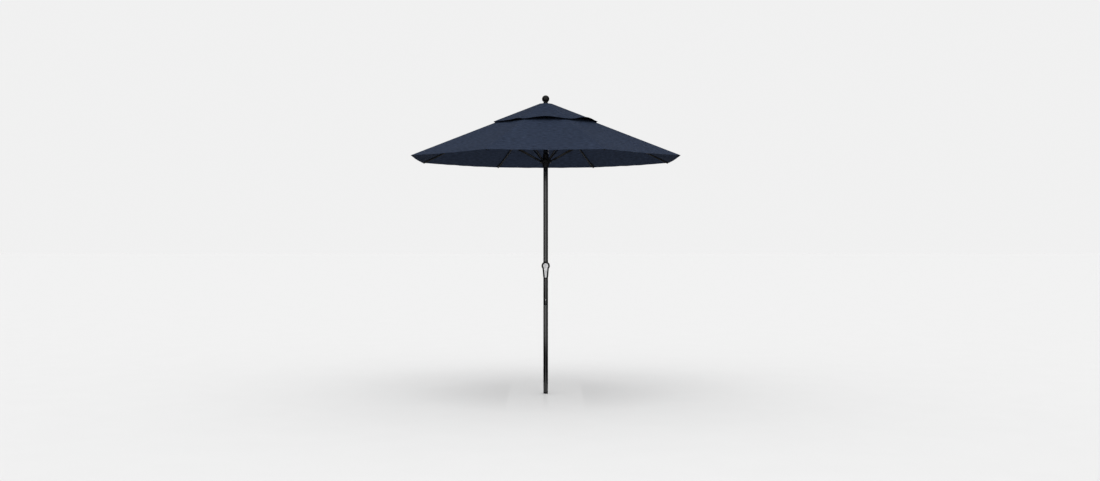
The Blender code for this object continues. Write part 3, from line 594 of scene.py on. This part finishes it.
def add_cloth(name, rows, uvs, finish, body, thickness=CLOTH_T, inner=None):
    """A sheet with its upper face on the rows. inner is the finish of its under face; the wings pass a darker
    copy of the cloth there, painted shade.
    """
    mesh = grid_mesh(name, rows, uvs)
    mesh.materials.append(finish)
    mesh.materials.append(inner or finish)
    thick = loose(name, mesh)
    step = thick.modifiers.new("cloth", "SOLIDIFY")
    step.thickness = thickness
    step.offset = -1.0
    step.material_offset = 1
    sheet = loose(name, smooth(baked(thick)))
    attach(sheet, body)
    return sheet


def fold_away(obj):
    """Gives the piece a mesh of its own."""
    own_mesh(obj)


SKIRT_LAP = 0.003
HEM_W = 0.022
TAPE_W = 0.0075
POCKET_LENGTH = 0.085
POCKET_W = 0.020
POCKET_T = 0.0006
CAP_HEM_T = 0.0010


def make_main_wing(index):
    body = f"rib_{index}"
    inner, outer = MAIN_IN[0], MAIN_OUT[0]
    points, uvs = wing_rows(index, main_rise, inner, outer, 44, 22)
    # The wing's under face takes the darker cloth, painted shade.
    wing = add_cloth(f"canopy_cloth_{index}", points, uvs, MAIN_CLOTH, body, inner=PAINTED_SHADE_UNDER_CLOTH)
    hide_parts(f"canopy_{index}")

    start, end = inner + 0.004, outer - 0.001
    points, uvs = wing_rows(index, main_rise, start, end, 60, 2, TAPE_W, -PROUD)
    tape = add_cloth(f"canopy_seam_{index}", points, uvs, SEAM_TAPE, body, PROUD)

    points, uvs = hem_rows(index, main_rise, outer, HEM_W)
    hem = add_cloth(f"canopy_hem_{index}", points, uvs, HEM_TAPE, body, PROUD)

    points, uvs = hem_rows(index, main_rise, inner + HEM_W, HEM_W)
    inner_hem = add_cloth(f"canopy_vent_hem_{index}", points, uvs, HEM_TAPE, body, PROUD)

    start, end = outer - POCKET_LENGTH, outer - 0.002
    under = CLOTH_T + 2 * PROUD
    points, uvs = wing_rows(index, main_rise, start, end, 8, 4, POCKET_W, under)
    pocket = add_cloth(f"rib_pocket_{index}", points, uvs, POCKET_TAPE, body, POCKET_T)

    for piece in (wing, tape, hem, inner_hem, pocket):
        fold_away(piece)


def hem_rows(index, rise, outer, width):
    """The turned hem under the cloth's edge. v runs along the edge."""
    points, uvs = [], []
    columns = 22
    for i in range(4):
        r = outer - width * (1 - i / 3)
        row, uv_row = [], []
        for j in range(-columns, columns + 1):
            t = 0.5 * abs(j) / columns
            panel = index if j >= 0 else (index - 2) % RIBS + 1
            s = t if j >= 0 else 1 - t
            row.append(panel_point(panel, r, s, rise(panel, r, s) - CLOTH_T - 0.0001))
            uv_row.append((2 * i / 3 - 1, (j / columns + 2 * index) * outer * math.sin(HALF_STEP)))
        points.append(row)
        uvs.append(uv_row)
    return points, uvs


def make_cap_wing(index):
    body = f"rib_{index}"
    inner, outer = CAP_IN[0] + SKIRT_LAP, CAP_OUT[0]
    points, uvs = wing_rows(index, cap_rise, inner, outer, 22, 14)
    # The cap wing's under face takes the darker cloth, painted shade.
    wing = add_cloth(f"vent_cloth_{index}", points, uvs, CAP_CLOTH, body, inner=PAINTED_SHADE_UNDER_CLOTH)
    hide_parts(f"vent_cap_{index}")
    points, uvs = wing_rows(index, cap_rise, inner, outer - 0.001, 30, 2, TAPE_W, -PROUD)
    tape = add_cloth(f"vent_seam_{index}", points, uvs, SEAM_TAPE, body, PROUD)
    points, uvs = hem_rows(index, cap_rise, outer, HEM_W)
    hem = add_cloth(f"vent_hem_{index}", points, uvs, HEM_TAPE, body, CAP_HEM_T)
    for piece in (wing, tape, hem):
        fold_away(piece)


def make_crown_cloth():
    """The cap's centre, clamped between the crown plate and the finial, with its skirt."""
    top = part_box("crown_plate")[1][2] + 0.0003
    hole = 0.0205
    thick = 0.0006
    falls = [(hole, 0.0), (0.036, 0.0), (0.041, 0.0004), (0.0455, 0.0024), (0.0520, 0.0056)]
    rings = [(r, top - fall) for r, fall in falls]
    upper = filleted([(r, z + thick, 0.002) for r, z in rings], 3)
    mesh = lathe(upper + rings[::-1], 96, closed=True)
    layer = mesh.uv_layers.new(name="panel")
    for loop in mesh.loops:
        layer.data[loop.index].uv = mesh.vertices[loop.vertex_index].co.xy
    crown = new_object("crown_cloth", mesh, CAP_CLOTH, "pole")


# ---- ribs and struts -----------------------------------------------------------------------
def crimped_tube(radius, start_at, end_at, pressed=0.0, half=0.0):
    """A tube between two (x, z) points. Over its first part, pressed long, it flattens to half."""
    start = Vector((start_at[0], 0, start_at[1]))
    run = Vector((end_at[0], 0, end_at[1])) - start
    along = run.normalized()
    up = Vector((-along.z, 0, along.x))
    steps = 8

    def section(x):
        if x >= pressed:
            return radius, radius
        share = x / pressed
        squeeze = 1 - share**2 * (3 - 2 * share)
        wide = radius * (1 - squeeze) + FLAT_HALF * squeeze
        tall = radius * (1 - squeeze) + half * squeeze
        return wide, tall

    spots = {0.0, round(run.length, 6)}
    if pressed:
        spots |= {round(pressed * k / steps, 6) for k in range(1, steps + 1)}
    work = bmesh.new()
    rings = []
    for x in sorted(spots):
        wide, tall = section(x)
        ring = []
        for k in range(TUBE_ROUND):
            a = 2 * math.pi * k / TUBE_ROUND
            sideways = Vector((0, -wide * math.cos(a), 0))
            point = start + along * x + up * (tall * math.sin(a)) + sideways
            ring.append(work.verts.new(point))
        rings.append(ring)
    for one, two in zip(rings, rings[1:]):
        for k in range(TUBE_ROUND):
            m = (k + 1) % TUBE_ROUND
            work.faces.new((one[k], one[m], two[m], two[k]))
    work.faces.new(rings[0][::-1])
    work.faces.new(rings[-1])
    bmesh.ops.recalc_face_normals(work, faces=work.faces)
    mesh = bpy.data.meshes.new("tube")
    work.to_mesh(mesh)
    work.free()
    return smooth(mesh)


def rib_frame(angle):
    return about_z(angle) @ shift(PIVOT_R, 0, PIVOT.z) @ about_y(PITCH)


def in_rib(r, z):
    dx, dz = r - PIVOT_R, z - PIVOT.z
    c, s = math.cos(PITCH), math.sin(PITCH)
    return dx * c - dz * s, dx * s + dz * c


CLOTH_ON_RIB = 0.0013
AXIS_DROP = (RIB_R + CLOTH_ON_RIB) / math.cos(PITCH)
AXIS_RISE = in_rib(PIVOT_R, MAIN_OUT[1] + SLOPE * (MAIN_OUT[0] - PIVOT_R) - AXIS_DROP)[1]
KNEE_X, KNEE_Z = in_rib(KNEE_R, KNEE.z)


def rib_span():
    """How far the rib and its end plug reach along the rib, from the CAD."""
    back = rib_frame(RIB_ANGLES[0]).inverted()
    rib = [(back @ Vector(p)).x for p in node_points("rib_1")]
    tip = [(back @ Vector(p)).x for p in node_points("rib_tip_1")]
    return max(rib), max(tip)


RIB_END, TIP_END = rib_span()


def rib_meshes():
    """The tube with its pressed eye, the knee bracket and the end plug, in the rib's frame."""
    root = (KNUCKLE_LENGTH, AXIS_RISE)
    tube = crimped_tube(RIB_R, root, (RIB_END, AXIS_RISE))
    eye = plate(
        bar_outline((0.0, 0.0), EYE_R, root, 0.0050),
        2 * FLAT_HALF,
        [circle(0.0, 0.0, EYE_HOLE_R + 0.0002, 16)],
    )
    neck_end = (KNUCKLE_LENGTH + 0.0015, AXIS_RISE)
    neck = crimped_tube(RIB_R, (0.024, AXIS_RISE * 0.6), neck_end, 0.022, 0.0048)
    knuckle = joined([bevelled(eye, 0.0004, 2), neck])
    ears = []
    trim_low = (KNEE_X - 0.03, -0.004, AXIS_RISE - 0.0015)
    trim_high = (KNEE_X + 0.03, 0.004, AXIS_RISE + 0.03)
    for side in (-1, 1):
        y = side * (EAR_HALF_GAP + EAR_T / 2)
        outline = bar_outline((KNEE_X, KNEE_Z), 0.0062, (KNEE_X, AXIS_RISE - 0.004), 0.0100)
        hole = circle(KNEE_X, KNEE_Z, PIN_R + 0.0003, 16)
        ear = bevelled(plate(outline, EAR_T, [hole]), 0.0004, 2)
        ears.append(moved(cut(ear, [block(trim_low, trim_high)]), shift(0, y, 0)))
    inside, outside = RIB_R + 0.0002, RIB_R + 0.0010
    wrap = [
        (inside, 0.0150, 0),
        (outside, 0.0150, 0.0004),
        (outside, -0.0150, 0.0004),
        (inside, -0.0150, 0),
    ]
    saddle = lathe(filleted(wrap, 2), 32, closed=True)
    moved(saddle, shift(KNEE_X, 0, AXIS_RISE) @ ALONG_X)
    top_low = (KNEE_X - 0.02, -0.02, AXIS_RISE + 0.0015)
    top = block(top_low, (KNEE_X + 0.02, 0.02, AXIS_RISE + 0.02))
    bracket = joined(ears + [cut(saddle, [top])])
    face = RIB_END + 0.0003
    tip = lathe(
        filleted(
            [
                (0.0, TIP_END, 0),
                (RIB_R, TIP_END, 0.0035),
                (RIB_R, face + 0.004, 0.0006),
                (RIB_R - 0.0006, face + 0.003, 0.0003),
                (RIB_R, face + 0.002, 0.0003),
                (RIB_R, face, 0.0004),
                (0.0, face, 0),
            ]
        ),
        32,
    )
    moved(tip, shift(0, 0, AXIS_RISE) @ ALONG_X)
    return {
        "rib_tube": (tube, RIB_PAINT, "bronze_paint"),
        "rib_knuckle": (knuckle, RIB_PAINT, "bronze_paint"),
        "knee_bracket": (bracket, BLACK_PLASTIC, "black_plastic"),
        "rib_plug": (tip, BLACK_PLASTIC, "black_plastic"),
    }


OUTER_END = (0.030, 0.0165)
INNER_END = (LINK - 0.036, -0.0020)


def strut_meshes():
    """Tube, two black sockets and the knee pin, in the strut's frame: X from knee to runner."""
    tube = crimped_tube(STRUT_R, OUTER_END, INNER_END)
    run = Vector((INNER_END[0] - OUTER_END[0], 0, INNER_END[1] - OUTER_END[1]))
    tilt = math.atan2(-run.z, run.x)
    along = run.normalized()
    sleeve = [
        (STRUT_R - 0.0002, 0.020, 0),
        (STRUT_R + 0.0009, 0.020, 0.0004),
        (STRUT_R + 0.0016, -0.004, 0.0020),
        (STRUT_R + 0.0004, -0.0120, 0.0020),
        (0.0020, -0.0150, 0.0010),
        (0.0, -0.0150, 0),
    ]
    ends = (
        (OUTER_END, 1, (0.0, 0.0), 0.0052),
        (INNER_END, -1, (LINK, 0.0), EYE_R),
    )
    sockets = []
    for end, direction, eye, eye_r in ends:
        body = lathe(filleted(sleeve, 3), 28)
        base = Vector((end[0], 0, end[1])) + along * SOCKET_GRIP * direction
        turn = ALONG_X if direction == 1 else Matrix.Rotation(-math.pi / 2, 4, "Y")
        moved(body, Matrix.Translation(base) @ about_y(tilt) @ turn)
        inside = (base.x - along.x * 0.002 * direction, base.z)
        holes = [] if direction == 1 else [circle(*eye, EYE_HOLE_R + 0.0002, 16)]
        outline = bar_outline(eye, eye_r, inside, 0.0050)
        lug = bevelled(plate(outline, 2 * FLAT_HALF, holes), 0.0004, 2)
        sockets.append(joined([body, lug]))
    half = EAR_HALF_GAP + EAR_T + 0.0008
    head = [
        (0.0, half + 0.0006, 0),
        (0.0032, half + 0.0006, 0.0012),
        (0.0034, half - 0.0006, 0.0002),
        (PIN_R, half - 0.0006, 0),
    ]
    tail = [(r, -z, size) for r, z, size in reversed(head)]
    pin = lathe(filleted(head + tail), 24)
    moved(pin, ALONG_Y)
    return {
        "strut_tube": (tube, RIB_PAINT, "bronze_paint"),
        "knee_socket": (sockets[0], BLACK_PLASTIC, "black_plastic"),
        "runner_socket": (sockets[1], BLACK_PLASTIC, "black_plastic"),
        "knee_pin": (pin, ZINC, "grey_metal"),
    }


def make_ribs_and_struts():
    ribs = rib_meshes()
    struts = strut_meshes()
    for index, angle in enumerate(RIB_ANGLES, 1):
        at = rib_frame(angle)
        for name, (mesh, finish, slot) in ribs.items():
            piece = new_object(f"{name}_{index}", moved(mesh.copy(), at), finish, f"rib_{index}")
            if name == "rib_tube":
                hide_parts(f"rib_{index}")
            if name == "rib_plug":
                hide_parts(f"rib_tip_{index}")
        at = about_z(angle) @ shift(KNEE_R, 0, KNEE.z) @ about_z(math.pi) @ about_y(LINK_PITCH)
        for name, (mesh, finish, slot) in struts.items():
            piece = new_object(f"{name}_{index}", moved(mesh.copy(), at), finish, f"strut_{index}")
            if name == "strut_tube":
                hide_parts(f"strut_{index}")


# ---- hub, runner, finial -------------------------------------------------------------------
def radial_slots(low_z, high_z, inner, outer):
    """One cutter on each rib's side of the pole."""
    low, high = (inner, -SLOT_HALF, low_z), (outer, SLOT_HALF, high_z)
    return [moved(block(low, high), about_z(angle)) for angle in RIB_ANGLES]


def pulley_window():
    """A cutter that clears the lift pulley."""
    low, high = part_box("lift_pulley")
    room = Vector((WHEEL_GAP, 0.0008, WHEEL_GAP))
    return block(Vector(low) - room, Vector(high) + room)


def make_runner():
    low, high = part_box("runner")
    z = SLIDE.z
    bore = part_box("upper_pole")[1][0] + 0.0008
    rim = high[0]
    sleeve = 0.0240
    profile = filleted(
        [
            (bore, high[2] - 0.001, 0),
            (bore + 0.0012, high[2], 0.0004),
            (sleeve, high[2], 0.0010),
            (sleeve, z + 0.030, 0.0006),
            (sleeve + 0.0008, z + 0.028, 0.0006),
            (sleeve + 0.0008, z + 0.012, 0.0030),
            (0.0320, z + 0.009, 0.0010),
            (rim, z + 0.009, 0.0018),
            (rim, z - 0.0115, 0.0008),
            (rim - 0.0008, z - 0.0135, 0.0006),
            (rim - 0.0012, z - 0.015, 0.0010),
            (0.0390, z - 0.015, 0.0016),
            (0.0305, z - 0.018, 0.0050),
            (0.0240, z - 0.040, 0.0100),
            (0.0225, low[2], 0.0008),
            (bore, low[2], 0),
        ],
        5,
    )
    body = lathe(profile, 96, closed=True)
    slots = radial_slots(z - 0.0062, z + 0.03, 0.0352, rim + 0.01)
    runner = new_object("runner_body", cut(body, slots), BLACK_PLASTIC, "runner")
    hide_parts("runner")


def make_hub():
    low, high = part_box("top_hub")
    rim = high[0]
    top = high[2]
    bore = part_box("upper_pole")[1][0] + 0.0003
    pole_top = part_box("upper_pole")[1][2] + 0.0003
    profile = filleted(
        [
            (0.0045, top, 0),
            (rim, top, 0.0020),
            (rim, top - 0.017, 0.0015),
            (0.0330, top - 0.019, 0.0040),
            (0.0285, top - 0.026, 0.0040),
            (0.0285, low[2], 0.0020),
            (bore, low[2], 0),
            (bore, pole_top, 0),
            (0.0045, pole_top, 0),
        ],
        4,
    )
    body = lathe(profile, 96, closed=True)
    slots = radial_slots(top - 0.03, top + 0.01, 0.0350, rim + 0.01)
    mesh = cut(body, slots + [pulley_window()])
    hub = new_object("hub_body", mesh, BLACK_PLASTIC, "pole")
    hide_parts("top_hub")


def make_finial():
    low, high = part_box("finial")
    ball = (high[0] - low[0]) / 2
    centre = high[2] - ball
    bands = 40
    neck = 0.0195
    end = math.pi - math.asin((neck - 0.0015) / ball)
    turns = [end * i / bands for i in range(bands + 1)]
    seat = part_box("crown_plate")[1][2] + 0.0012
    shaped = [(ball * math.sin(a), centre + ball * math.cos(a), 0) for a in turns]
    shaped += [
        (neck - 0.0020, seat + 0.0062, 0.0012),
        (neck + 0.0012, seat + 0.0048, 0.0010),
        (neck + 0.0020, seat, 0.0008),
        (0.0040, seat, 0),
        (0.0040, low[2], 0),
        (0.0, low[2], 0),
    ]
    finial = new_object("finial_ball", lathe(filleted(shaped, 4), 80), BALL_PLASTIC, "pole")
    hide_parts("finial")


# ---- pole ----------------------------------------------------------------------------------
def make_pole():
    for node, chamfers in (("lower_pole", (0.0006, 0.0004)), ("upper_pole", (0.0004, 0.0006))):
        low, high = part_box(node)
        radius = high[0]
        profile = filleted(
            [
                (radius - 0.0015, high[2], 0),
                (radius, high[2], chamfers[0]),
                (radius, low[2], chamfers[1]),
                (radius - 0.0015, low[2], 0),
            ],
            3,
        )
        tube = lathe(profile, POLE_ROUND, closed=True)
        holes = []
        if node == "upper_pole":
            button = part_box("snap_button")
            z = (button[0][2] + button[1][2]) / 2
            drills = (
                (SHAFT_HOLE_R, shift(0, 0, z) @ FRONTWARD),
                (DRUM_HOLE_R, Matrix.Translation(CRANK) @ FRONTWARD),
                (SHAFT_HOLE_R, Matrix.Translation(CRANK) @ ALONG_Y),
            )
            for hole_r, place in drills:
                holes.append(moved(cylinder(hole_r, 0.0, 0.03, 32), place))
            holes.append(pulley_window())
        mesh = cut(tube, holes) if holes else tube
        pole = new_object(f"{node}_tube", mesh, POLE_PAINT, "pole")
        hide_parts(node)


def make_foot():
    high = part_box("pole_foot_plug")[1]
    radius = high[0]
    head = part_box("lower_pole")[0][2] - 0.0003
    profile = filleted(
        [
            (0.0, high[2], 0),
            (radius - 0.0019, high[2], 0.0008),
            (radius - 0.0018, head, 0.0),
            (radius, head, 0.0005),
            (radius, head * 0.62, 0.0004),
            (radius - 0.0005, head * 0.56, 0.0003),
            (radius, head * 0.50, 0.0004),
            (radius, 0.0, 0.0020),
            (0.006, 0.0, 0.0),
            (0.005, 0.0010, 0.0),
            (0.0, 0.0010, 0.0),
        ],
        4,
    )
    foot = new_object("foot_plug", lathe(profile, POLE_ROUND), BLACK_PLASTIC, "pole")
    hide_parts("pole_foot_plug")


def make_button():
    low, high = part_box("snap_button")
    z = (low[2] + high[2]) / 2
    tip, back = -low[1], -high[1]
    profile = filleted(
        [
            (0.0, tip, 0),
            (0.0040, tip - 0.0002, 0.0022),
            (0.0040, back + 0.0036, 0.0003),
            (0.0052, back + 0.0030, 0.0003),
            (0.0052, back, 0.0003),
            (0.0, back, 0),
        ],
        6,
    )
    button = lathe(profile, 32)
    moved(button, shift(0, 0, z) @ FRONTWARD)
    piece = new_object("snap_button_cap", button, STEEL_BRIGHT, "snap_button")
    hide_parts("snap_button")


# ---- crank ---------------------------------------------------------------------------------
def keyhole(z, head_r, neck_r, tail_r, tail, steps=40):
    """A round head at height z with a body that narrows from neck_r to tail_r below it."""
    lean = math.asin((neck_r - tail_r) / tail)
    dip = lean + math.acos(neck_r / head_r)
    points = []
    for i in range(steps + 1):
        a = -dip + (math.pi + 2 * dip) * i / steps
        points.append((head_r * math.cos(a), z + head_r * math.sin(a)))
    for i in range(steps // 2 + 1):
        a = math.pi + lean + (math.pi - 2 * lean) * 2 * i / steps
        points.append((tail_r * math.cos(a), z - tail + tail_r * math.sin(a)))
    return points


def cylinder(radius, low, high, steps=48):
    return lathe([(0.0, high), (radius, high), (radius, low), (0.0, low)], steps)


def make_housing(node, near, far, toward):
    low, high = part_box(node)
    head_r = high[0]
    pole_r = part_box("upper_pole")[1][0]
    tail_r = pole_r + 0.00215
    neck_r = pole_r + 0.00845
    tail = CRANK.z - low[2] - tail_r
    wall = 0.0025
    deep = abs(far - near)
    middle = (near + far) / 2

    def outline(inset):
        return keyhole(CRANK.z, head_r - inset, neck_r - inset, tail_r - inset, tail)

    shell = moved(plate(outline(0.0), deep), shift(0, middle, 0))
    shell = bevelled(shell, 0.0030, 4, 60)
    rim = moved(plate(outline(0.0), deep - 0.004), shift(0, middle - toward * 0.002, 0))
    hollow = moved(plate(outline(wall), deep), shift(0, middle - toward * wall, 0))
    pole = cylinder(pole_r + 0.0003, low[2] - 0.05, high[2] + 0.05, 64)
    bore = cylinder(SHAFT_HOLE_R, -0.1, 0.1, 32)
    shaft = moved(bore, Matrix.Translation(CRANK) @ ALONG_Y)
    body = cut(cut(shell, [rim], "UNION"), [hollow, pole, shaft])
    piece = new_object(f"{node}_shell", body, BLACK_PLASTIC, "pole")
    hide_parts(node)


def screw_mesh(radius, height):
    """A round screw head with a cross recess."""
    dome = [(0.0, height, 0), (radius, height, height * 0.8), (radius, 0.0, 0), (0.0, 0.0, 0)]
    head = lathe(filleted(dome, 5), 32)
    arm = radius * 0.62
    slot = radius * 0.13
    floor, over = height * 0.35, height * 2
    across = block((-arm, -slot, floor), (arm, slot, over))
    down = block((-slot, -arm, floor), (slot, arm, over))
    return cut(head, [across, down])


def make_crank():
    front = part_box("crank_housing_front")[0][1]
    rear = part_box("crank_housing_rear")[1][1]
    make_housing("crank_housing_front", -0.00015, front, -1)
    make_housing("crank_housing_rear", 0.00015, rear, 1)
    screws = ((-0.023, 0.010), (0.023, 0.010), (0.0, -0.092))
    for number, (x, z) in enumerate(screws, 1):
        head = moved(screw_mesh(0.0034, 0.0016), shift(x, rear, CRANK.z + z) @ ALONG_Y)
        new_object(f"housing_screw_{number}", head, ZINC, "pole")

    arm_low, arm_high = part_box("crank_handle")
    reach = CRANK.z - KNOB.z
    boss_r = arm_high[0]
    back = front - 0.0008
    thick = 0.0060
    boss_t = 0.0070
    arm = plate(keyhole(0.0, boss_r, boss_r - 0.0050, 0.0070, reach), thick)
    arm = bevelled(arm, 0.0014, 4, 60)
    recess = plate(bar_outline((0, -0.028), 0.0062, (0, -reach + 0.018), 0.0034, 16), thick)
    moved(recess, shift(0, -thick + 0.0012, 0))
    arm = cut(arm, [recess])
    dome = [
        (0.0, boss_t, 0),
        (boss_r * 0.62, boss_t, 0.0018),
        (boss_r * 0.64, 0.0, 0),
        (0.0, 0.0, 0),
    ]
    boss = moved(lathe(filleted(dome, 5), 64), FRONTWARD)
    arm = cut(arm, [boss], "UNION")
    moved(arm, shift(0, back - thick / 2, CRANK.z))
    handle = new_object("crank_arm", arm, SILVER_PLASTIC, "crank")
    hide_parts("crank_handle")
    face = back - thick / 2 - boss_t
    screw = moved(screw_mesh(0.0046, 0.0018), shift(0, face, CRANK.z) @ FRONTWARD)
    new_object("crank_screw", screw, ZINC, "crank")
    pin = cylinder(0.0025, 0.0, back - thick - arm_low[1], 24)
    moved(pin, shift(0, back - thick + 0.0005, KNOB.z) @ FRONTWARD)
    new_object("knob_pin", pin, ZINC, "crank")

    low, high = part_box("crank_knob")
    long = high[1] - low[1]
    grip = [(0.0, long, 0), (0.0056, long, 0.0025), (0.0070, long - 0.0050, 0.0015)]
    for k in range(4):
        z = long - 0.0080 - 0.0035 * k
        grip += [(0.0064, z, 0.0006), (0.0059, z - 0.0009, 0.0006), (0.0064, z - 0.0018, 0.0006)]
    socket = long - 0.0035
    grip += [
        (0.0070, 0.0045, 0.0015),
        (0.0056, 0.0, 0.0012),
        (0.0029, 0.0, 0),
        (0.0029, socket, 0),
        (0.0, socket, 0),
    ]
    knob = moved(lathe(filleted(grip, 4), 48), shift(0, high[1], KNOB.z) @ FRONTWARD)
    piece = new_object("crank_grip", knob, SILVER_PLASTIC, "knob")
    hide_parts("crank_knob")


# ---- what stays as the CAD has it ----------------------------------------------------------
def finish_cad_nodes():
    kept = {
        "pole_insert": ZINC,
        "snap_spring": STEEL_BRIGHT,
        "hub_ring": ZINC,
        "runner_ring": ZINC,
        "crown_plate": BLACK_PLASTIC,
        "pulley_axle": ZINC,
        "lift_pulley": SILVER_PLASTIC,
        "cord_spool": ZINC,
        "lift_cord": CORD,
    }
    for node, finish in kept.items():
        obj = frame["nodes"][node]
        for slot in obj.material_slots:
            slot.material = finish
    spring = frame["nodes"]["snap_spring"]
    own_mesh(spring)


# ---- studio --------------------------------------------------------------------------------
FLOOR = 0.7065
GLOSS_SHARE = 0.07
GLOSS_NEAR = 0.35
GLOSS_FAR = 1.1
BACKDROP = 0.876
CARD_X = 6.0
FLAG_X = 3.15


def make_camera():
    data = bpy.data.cameras.new("camera")
    data.sensor_width = 36.0
    data.lens = 38.42
    data.shift_x = 0.00393
    data.shift_y = 0.0014
    data.clip_end = 200.0
    camera = bpy.data.objects.new("camera", data)
    camera.location = (0.0, -9.6, 1.238)
    camera.rotation_euler = (math.pi / 2, 0.0, 0.0)
    bpy.context.scene.collection.objects.link(camera)
    bpy.context.scene.camera = camera


def flat_card(name, width, height, matrix):
    mesh = bpy.data.meshes.new(name)
    work = bmesh.new()
    bmesh.ops.create_grid(work, x_segments=1, y_segments=1, size=0.5)
    bmesh.ops.scale(work, vec=(width, height, 1.0), verts=work.verts)
    work.to_mesh(mesh)
    work.free()
    card = loose(name, mesh)
    card.matrix_world = matrix
    return card


def make_floor():
    floor = flat_card("floor", 240.0, 240.0, shift(0, 0, -0.0002))
    n = Nodes("pale_floor")
    speck = n.noise(n.place(), 3.0, 3.0)
    tone = n.ramp(speck, grey(FLOOR - 0.004), grey(FLOOR + 0.004), 0.3, 0.7)
    n.set(base_color=tone, roughness=1.0, specular_ior_level=0.0)
    gloss = n.add("ShaderNodeBsdfGlossy", {"Roughness": 0.04})
    reach = n.add("ShaderNodeVectorMath", {0: n.place()}, operation="LENGTH")
    fade = {
        "Value": reach.outputs["Value"],
        "From Min": GLOSS_NEAR,
        "From Max": GLOSS_FAR,
        "To Min": GLOSS_SHARE,
        "To Max": 0.0,
    }
    share = n.add("ShaderNodeMapRange", fade).outputs["Result"]
    layers = {0: share, 1: n.shader.outputs[0], 2: gloss.outputs[0]}
    mixed = n.add("ShaderNodeMixShader", layers)
    n.tree.links.new(mixed.outputs[0], n.tree.nodes["Material Output"].inputs["Surface"])
    floor.data.materials.append(n.material)


def make_cards():
    """Black cards and floor flags beside the set, and a white card in front.

    The camera sees them only in reflections."""
    black = Nodes("black_card")
    black.set(base_color=grey(0.0), roughness=1.0, specular_ior_level=0.0)
    white = Nodes("white_card")
    white.set(base_color=grey(0.0), emission_color=grey(1.0), emission_strength=3.4)
    side_on = about_z(math.pi / 2) @ FRONTWARD
    cards = [
        (flat_card("card_left", 66.0, 10.0, shift(-CARD_X, 28.3, 5.0) @ side_on), black),
        (flat_card("card_right", 66.0, 10.0, shift(CARD_X, 29.5, 5.0) @ side_on), black),
        (flat_card("flag_left", 5.7, 66.0, shift(-FLAG_X, 28.3, 0.001)), black),
        (flat_card("flag_right", 5.7, 66.0, shift(FLAG_X, 29.5, 0.001)), black),
        (flat_card("card_front", 6.5, 5.0, shift(-7.2, -12.0, 2.6) @ FRONTWARD), white),
    ]
    for card, finish in cards:
        card.data.materials.append(finish.material)
        card.visible_camera = False
        card.visible_diffuse = False
        card.visible_shadow = False
        card.visible_transmission = False


def make_sun(name, strength, angle, tilt, turn):
    data = bpy.data.lights.new(name, "SUN")
    data.energy = strength
    data.angle = math.radians(angle)
    sun = bpy.data.objects.new(name, data)
    sun.rotation_euler = (math.radians(tilt), 0.0, math.radians(turn))
    bpy.context.scene.collection.objects.link(sun)


def make_light():
    world = bpy.data.worlds.new("studio")
    bpy.context.scene.world = world
    world.use_nodes = True
    back = world.node_tree.nodes["Background"]
    back.inputs["Color"].default_value = (*grey(BACKDROP), 1.0)
    back.inputs["Strength"].default_value = 1.0
    make_sun("overhead", 0.34, 46.0, 16.0, 0.0)
    for turn, strength in ((-40.0, 0.40), (50.0, 0.38), (140.0, 0.28), (230.0, 0.28)):
        make_sun("ring", strength, 60.0, 50.0, turn)
    bpy.context.scene.view_settings.view_transform = "Standard"


make_camera()
make_floor()
make_cards()
make_light()
make_pole()
make_foot()
make_button()
make_hub()
make_finial()
make_runner()
make_ribs_and_struts()
for rib_number in range(1, RIBS + 1):
    make_main_wing(rib_number)
    make_cap_wing(rib_number)
make_crown_cloth()
make_crank()
finish_cad_nodes()
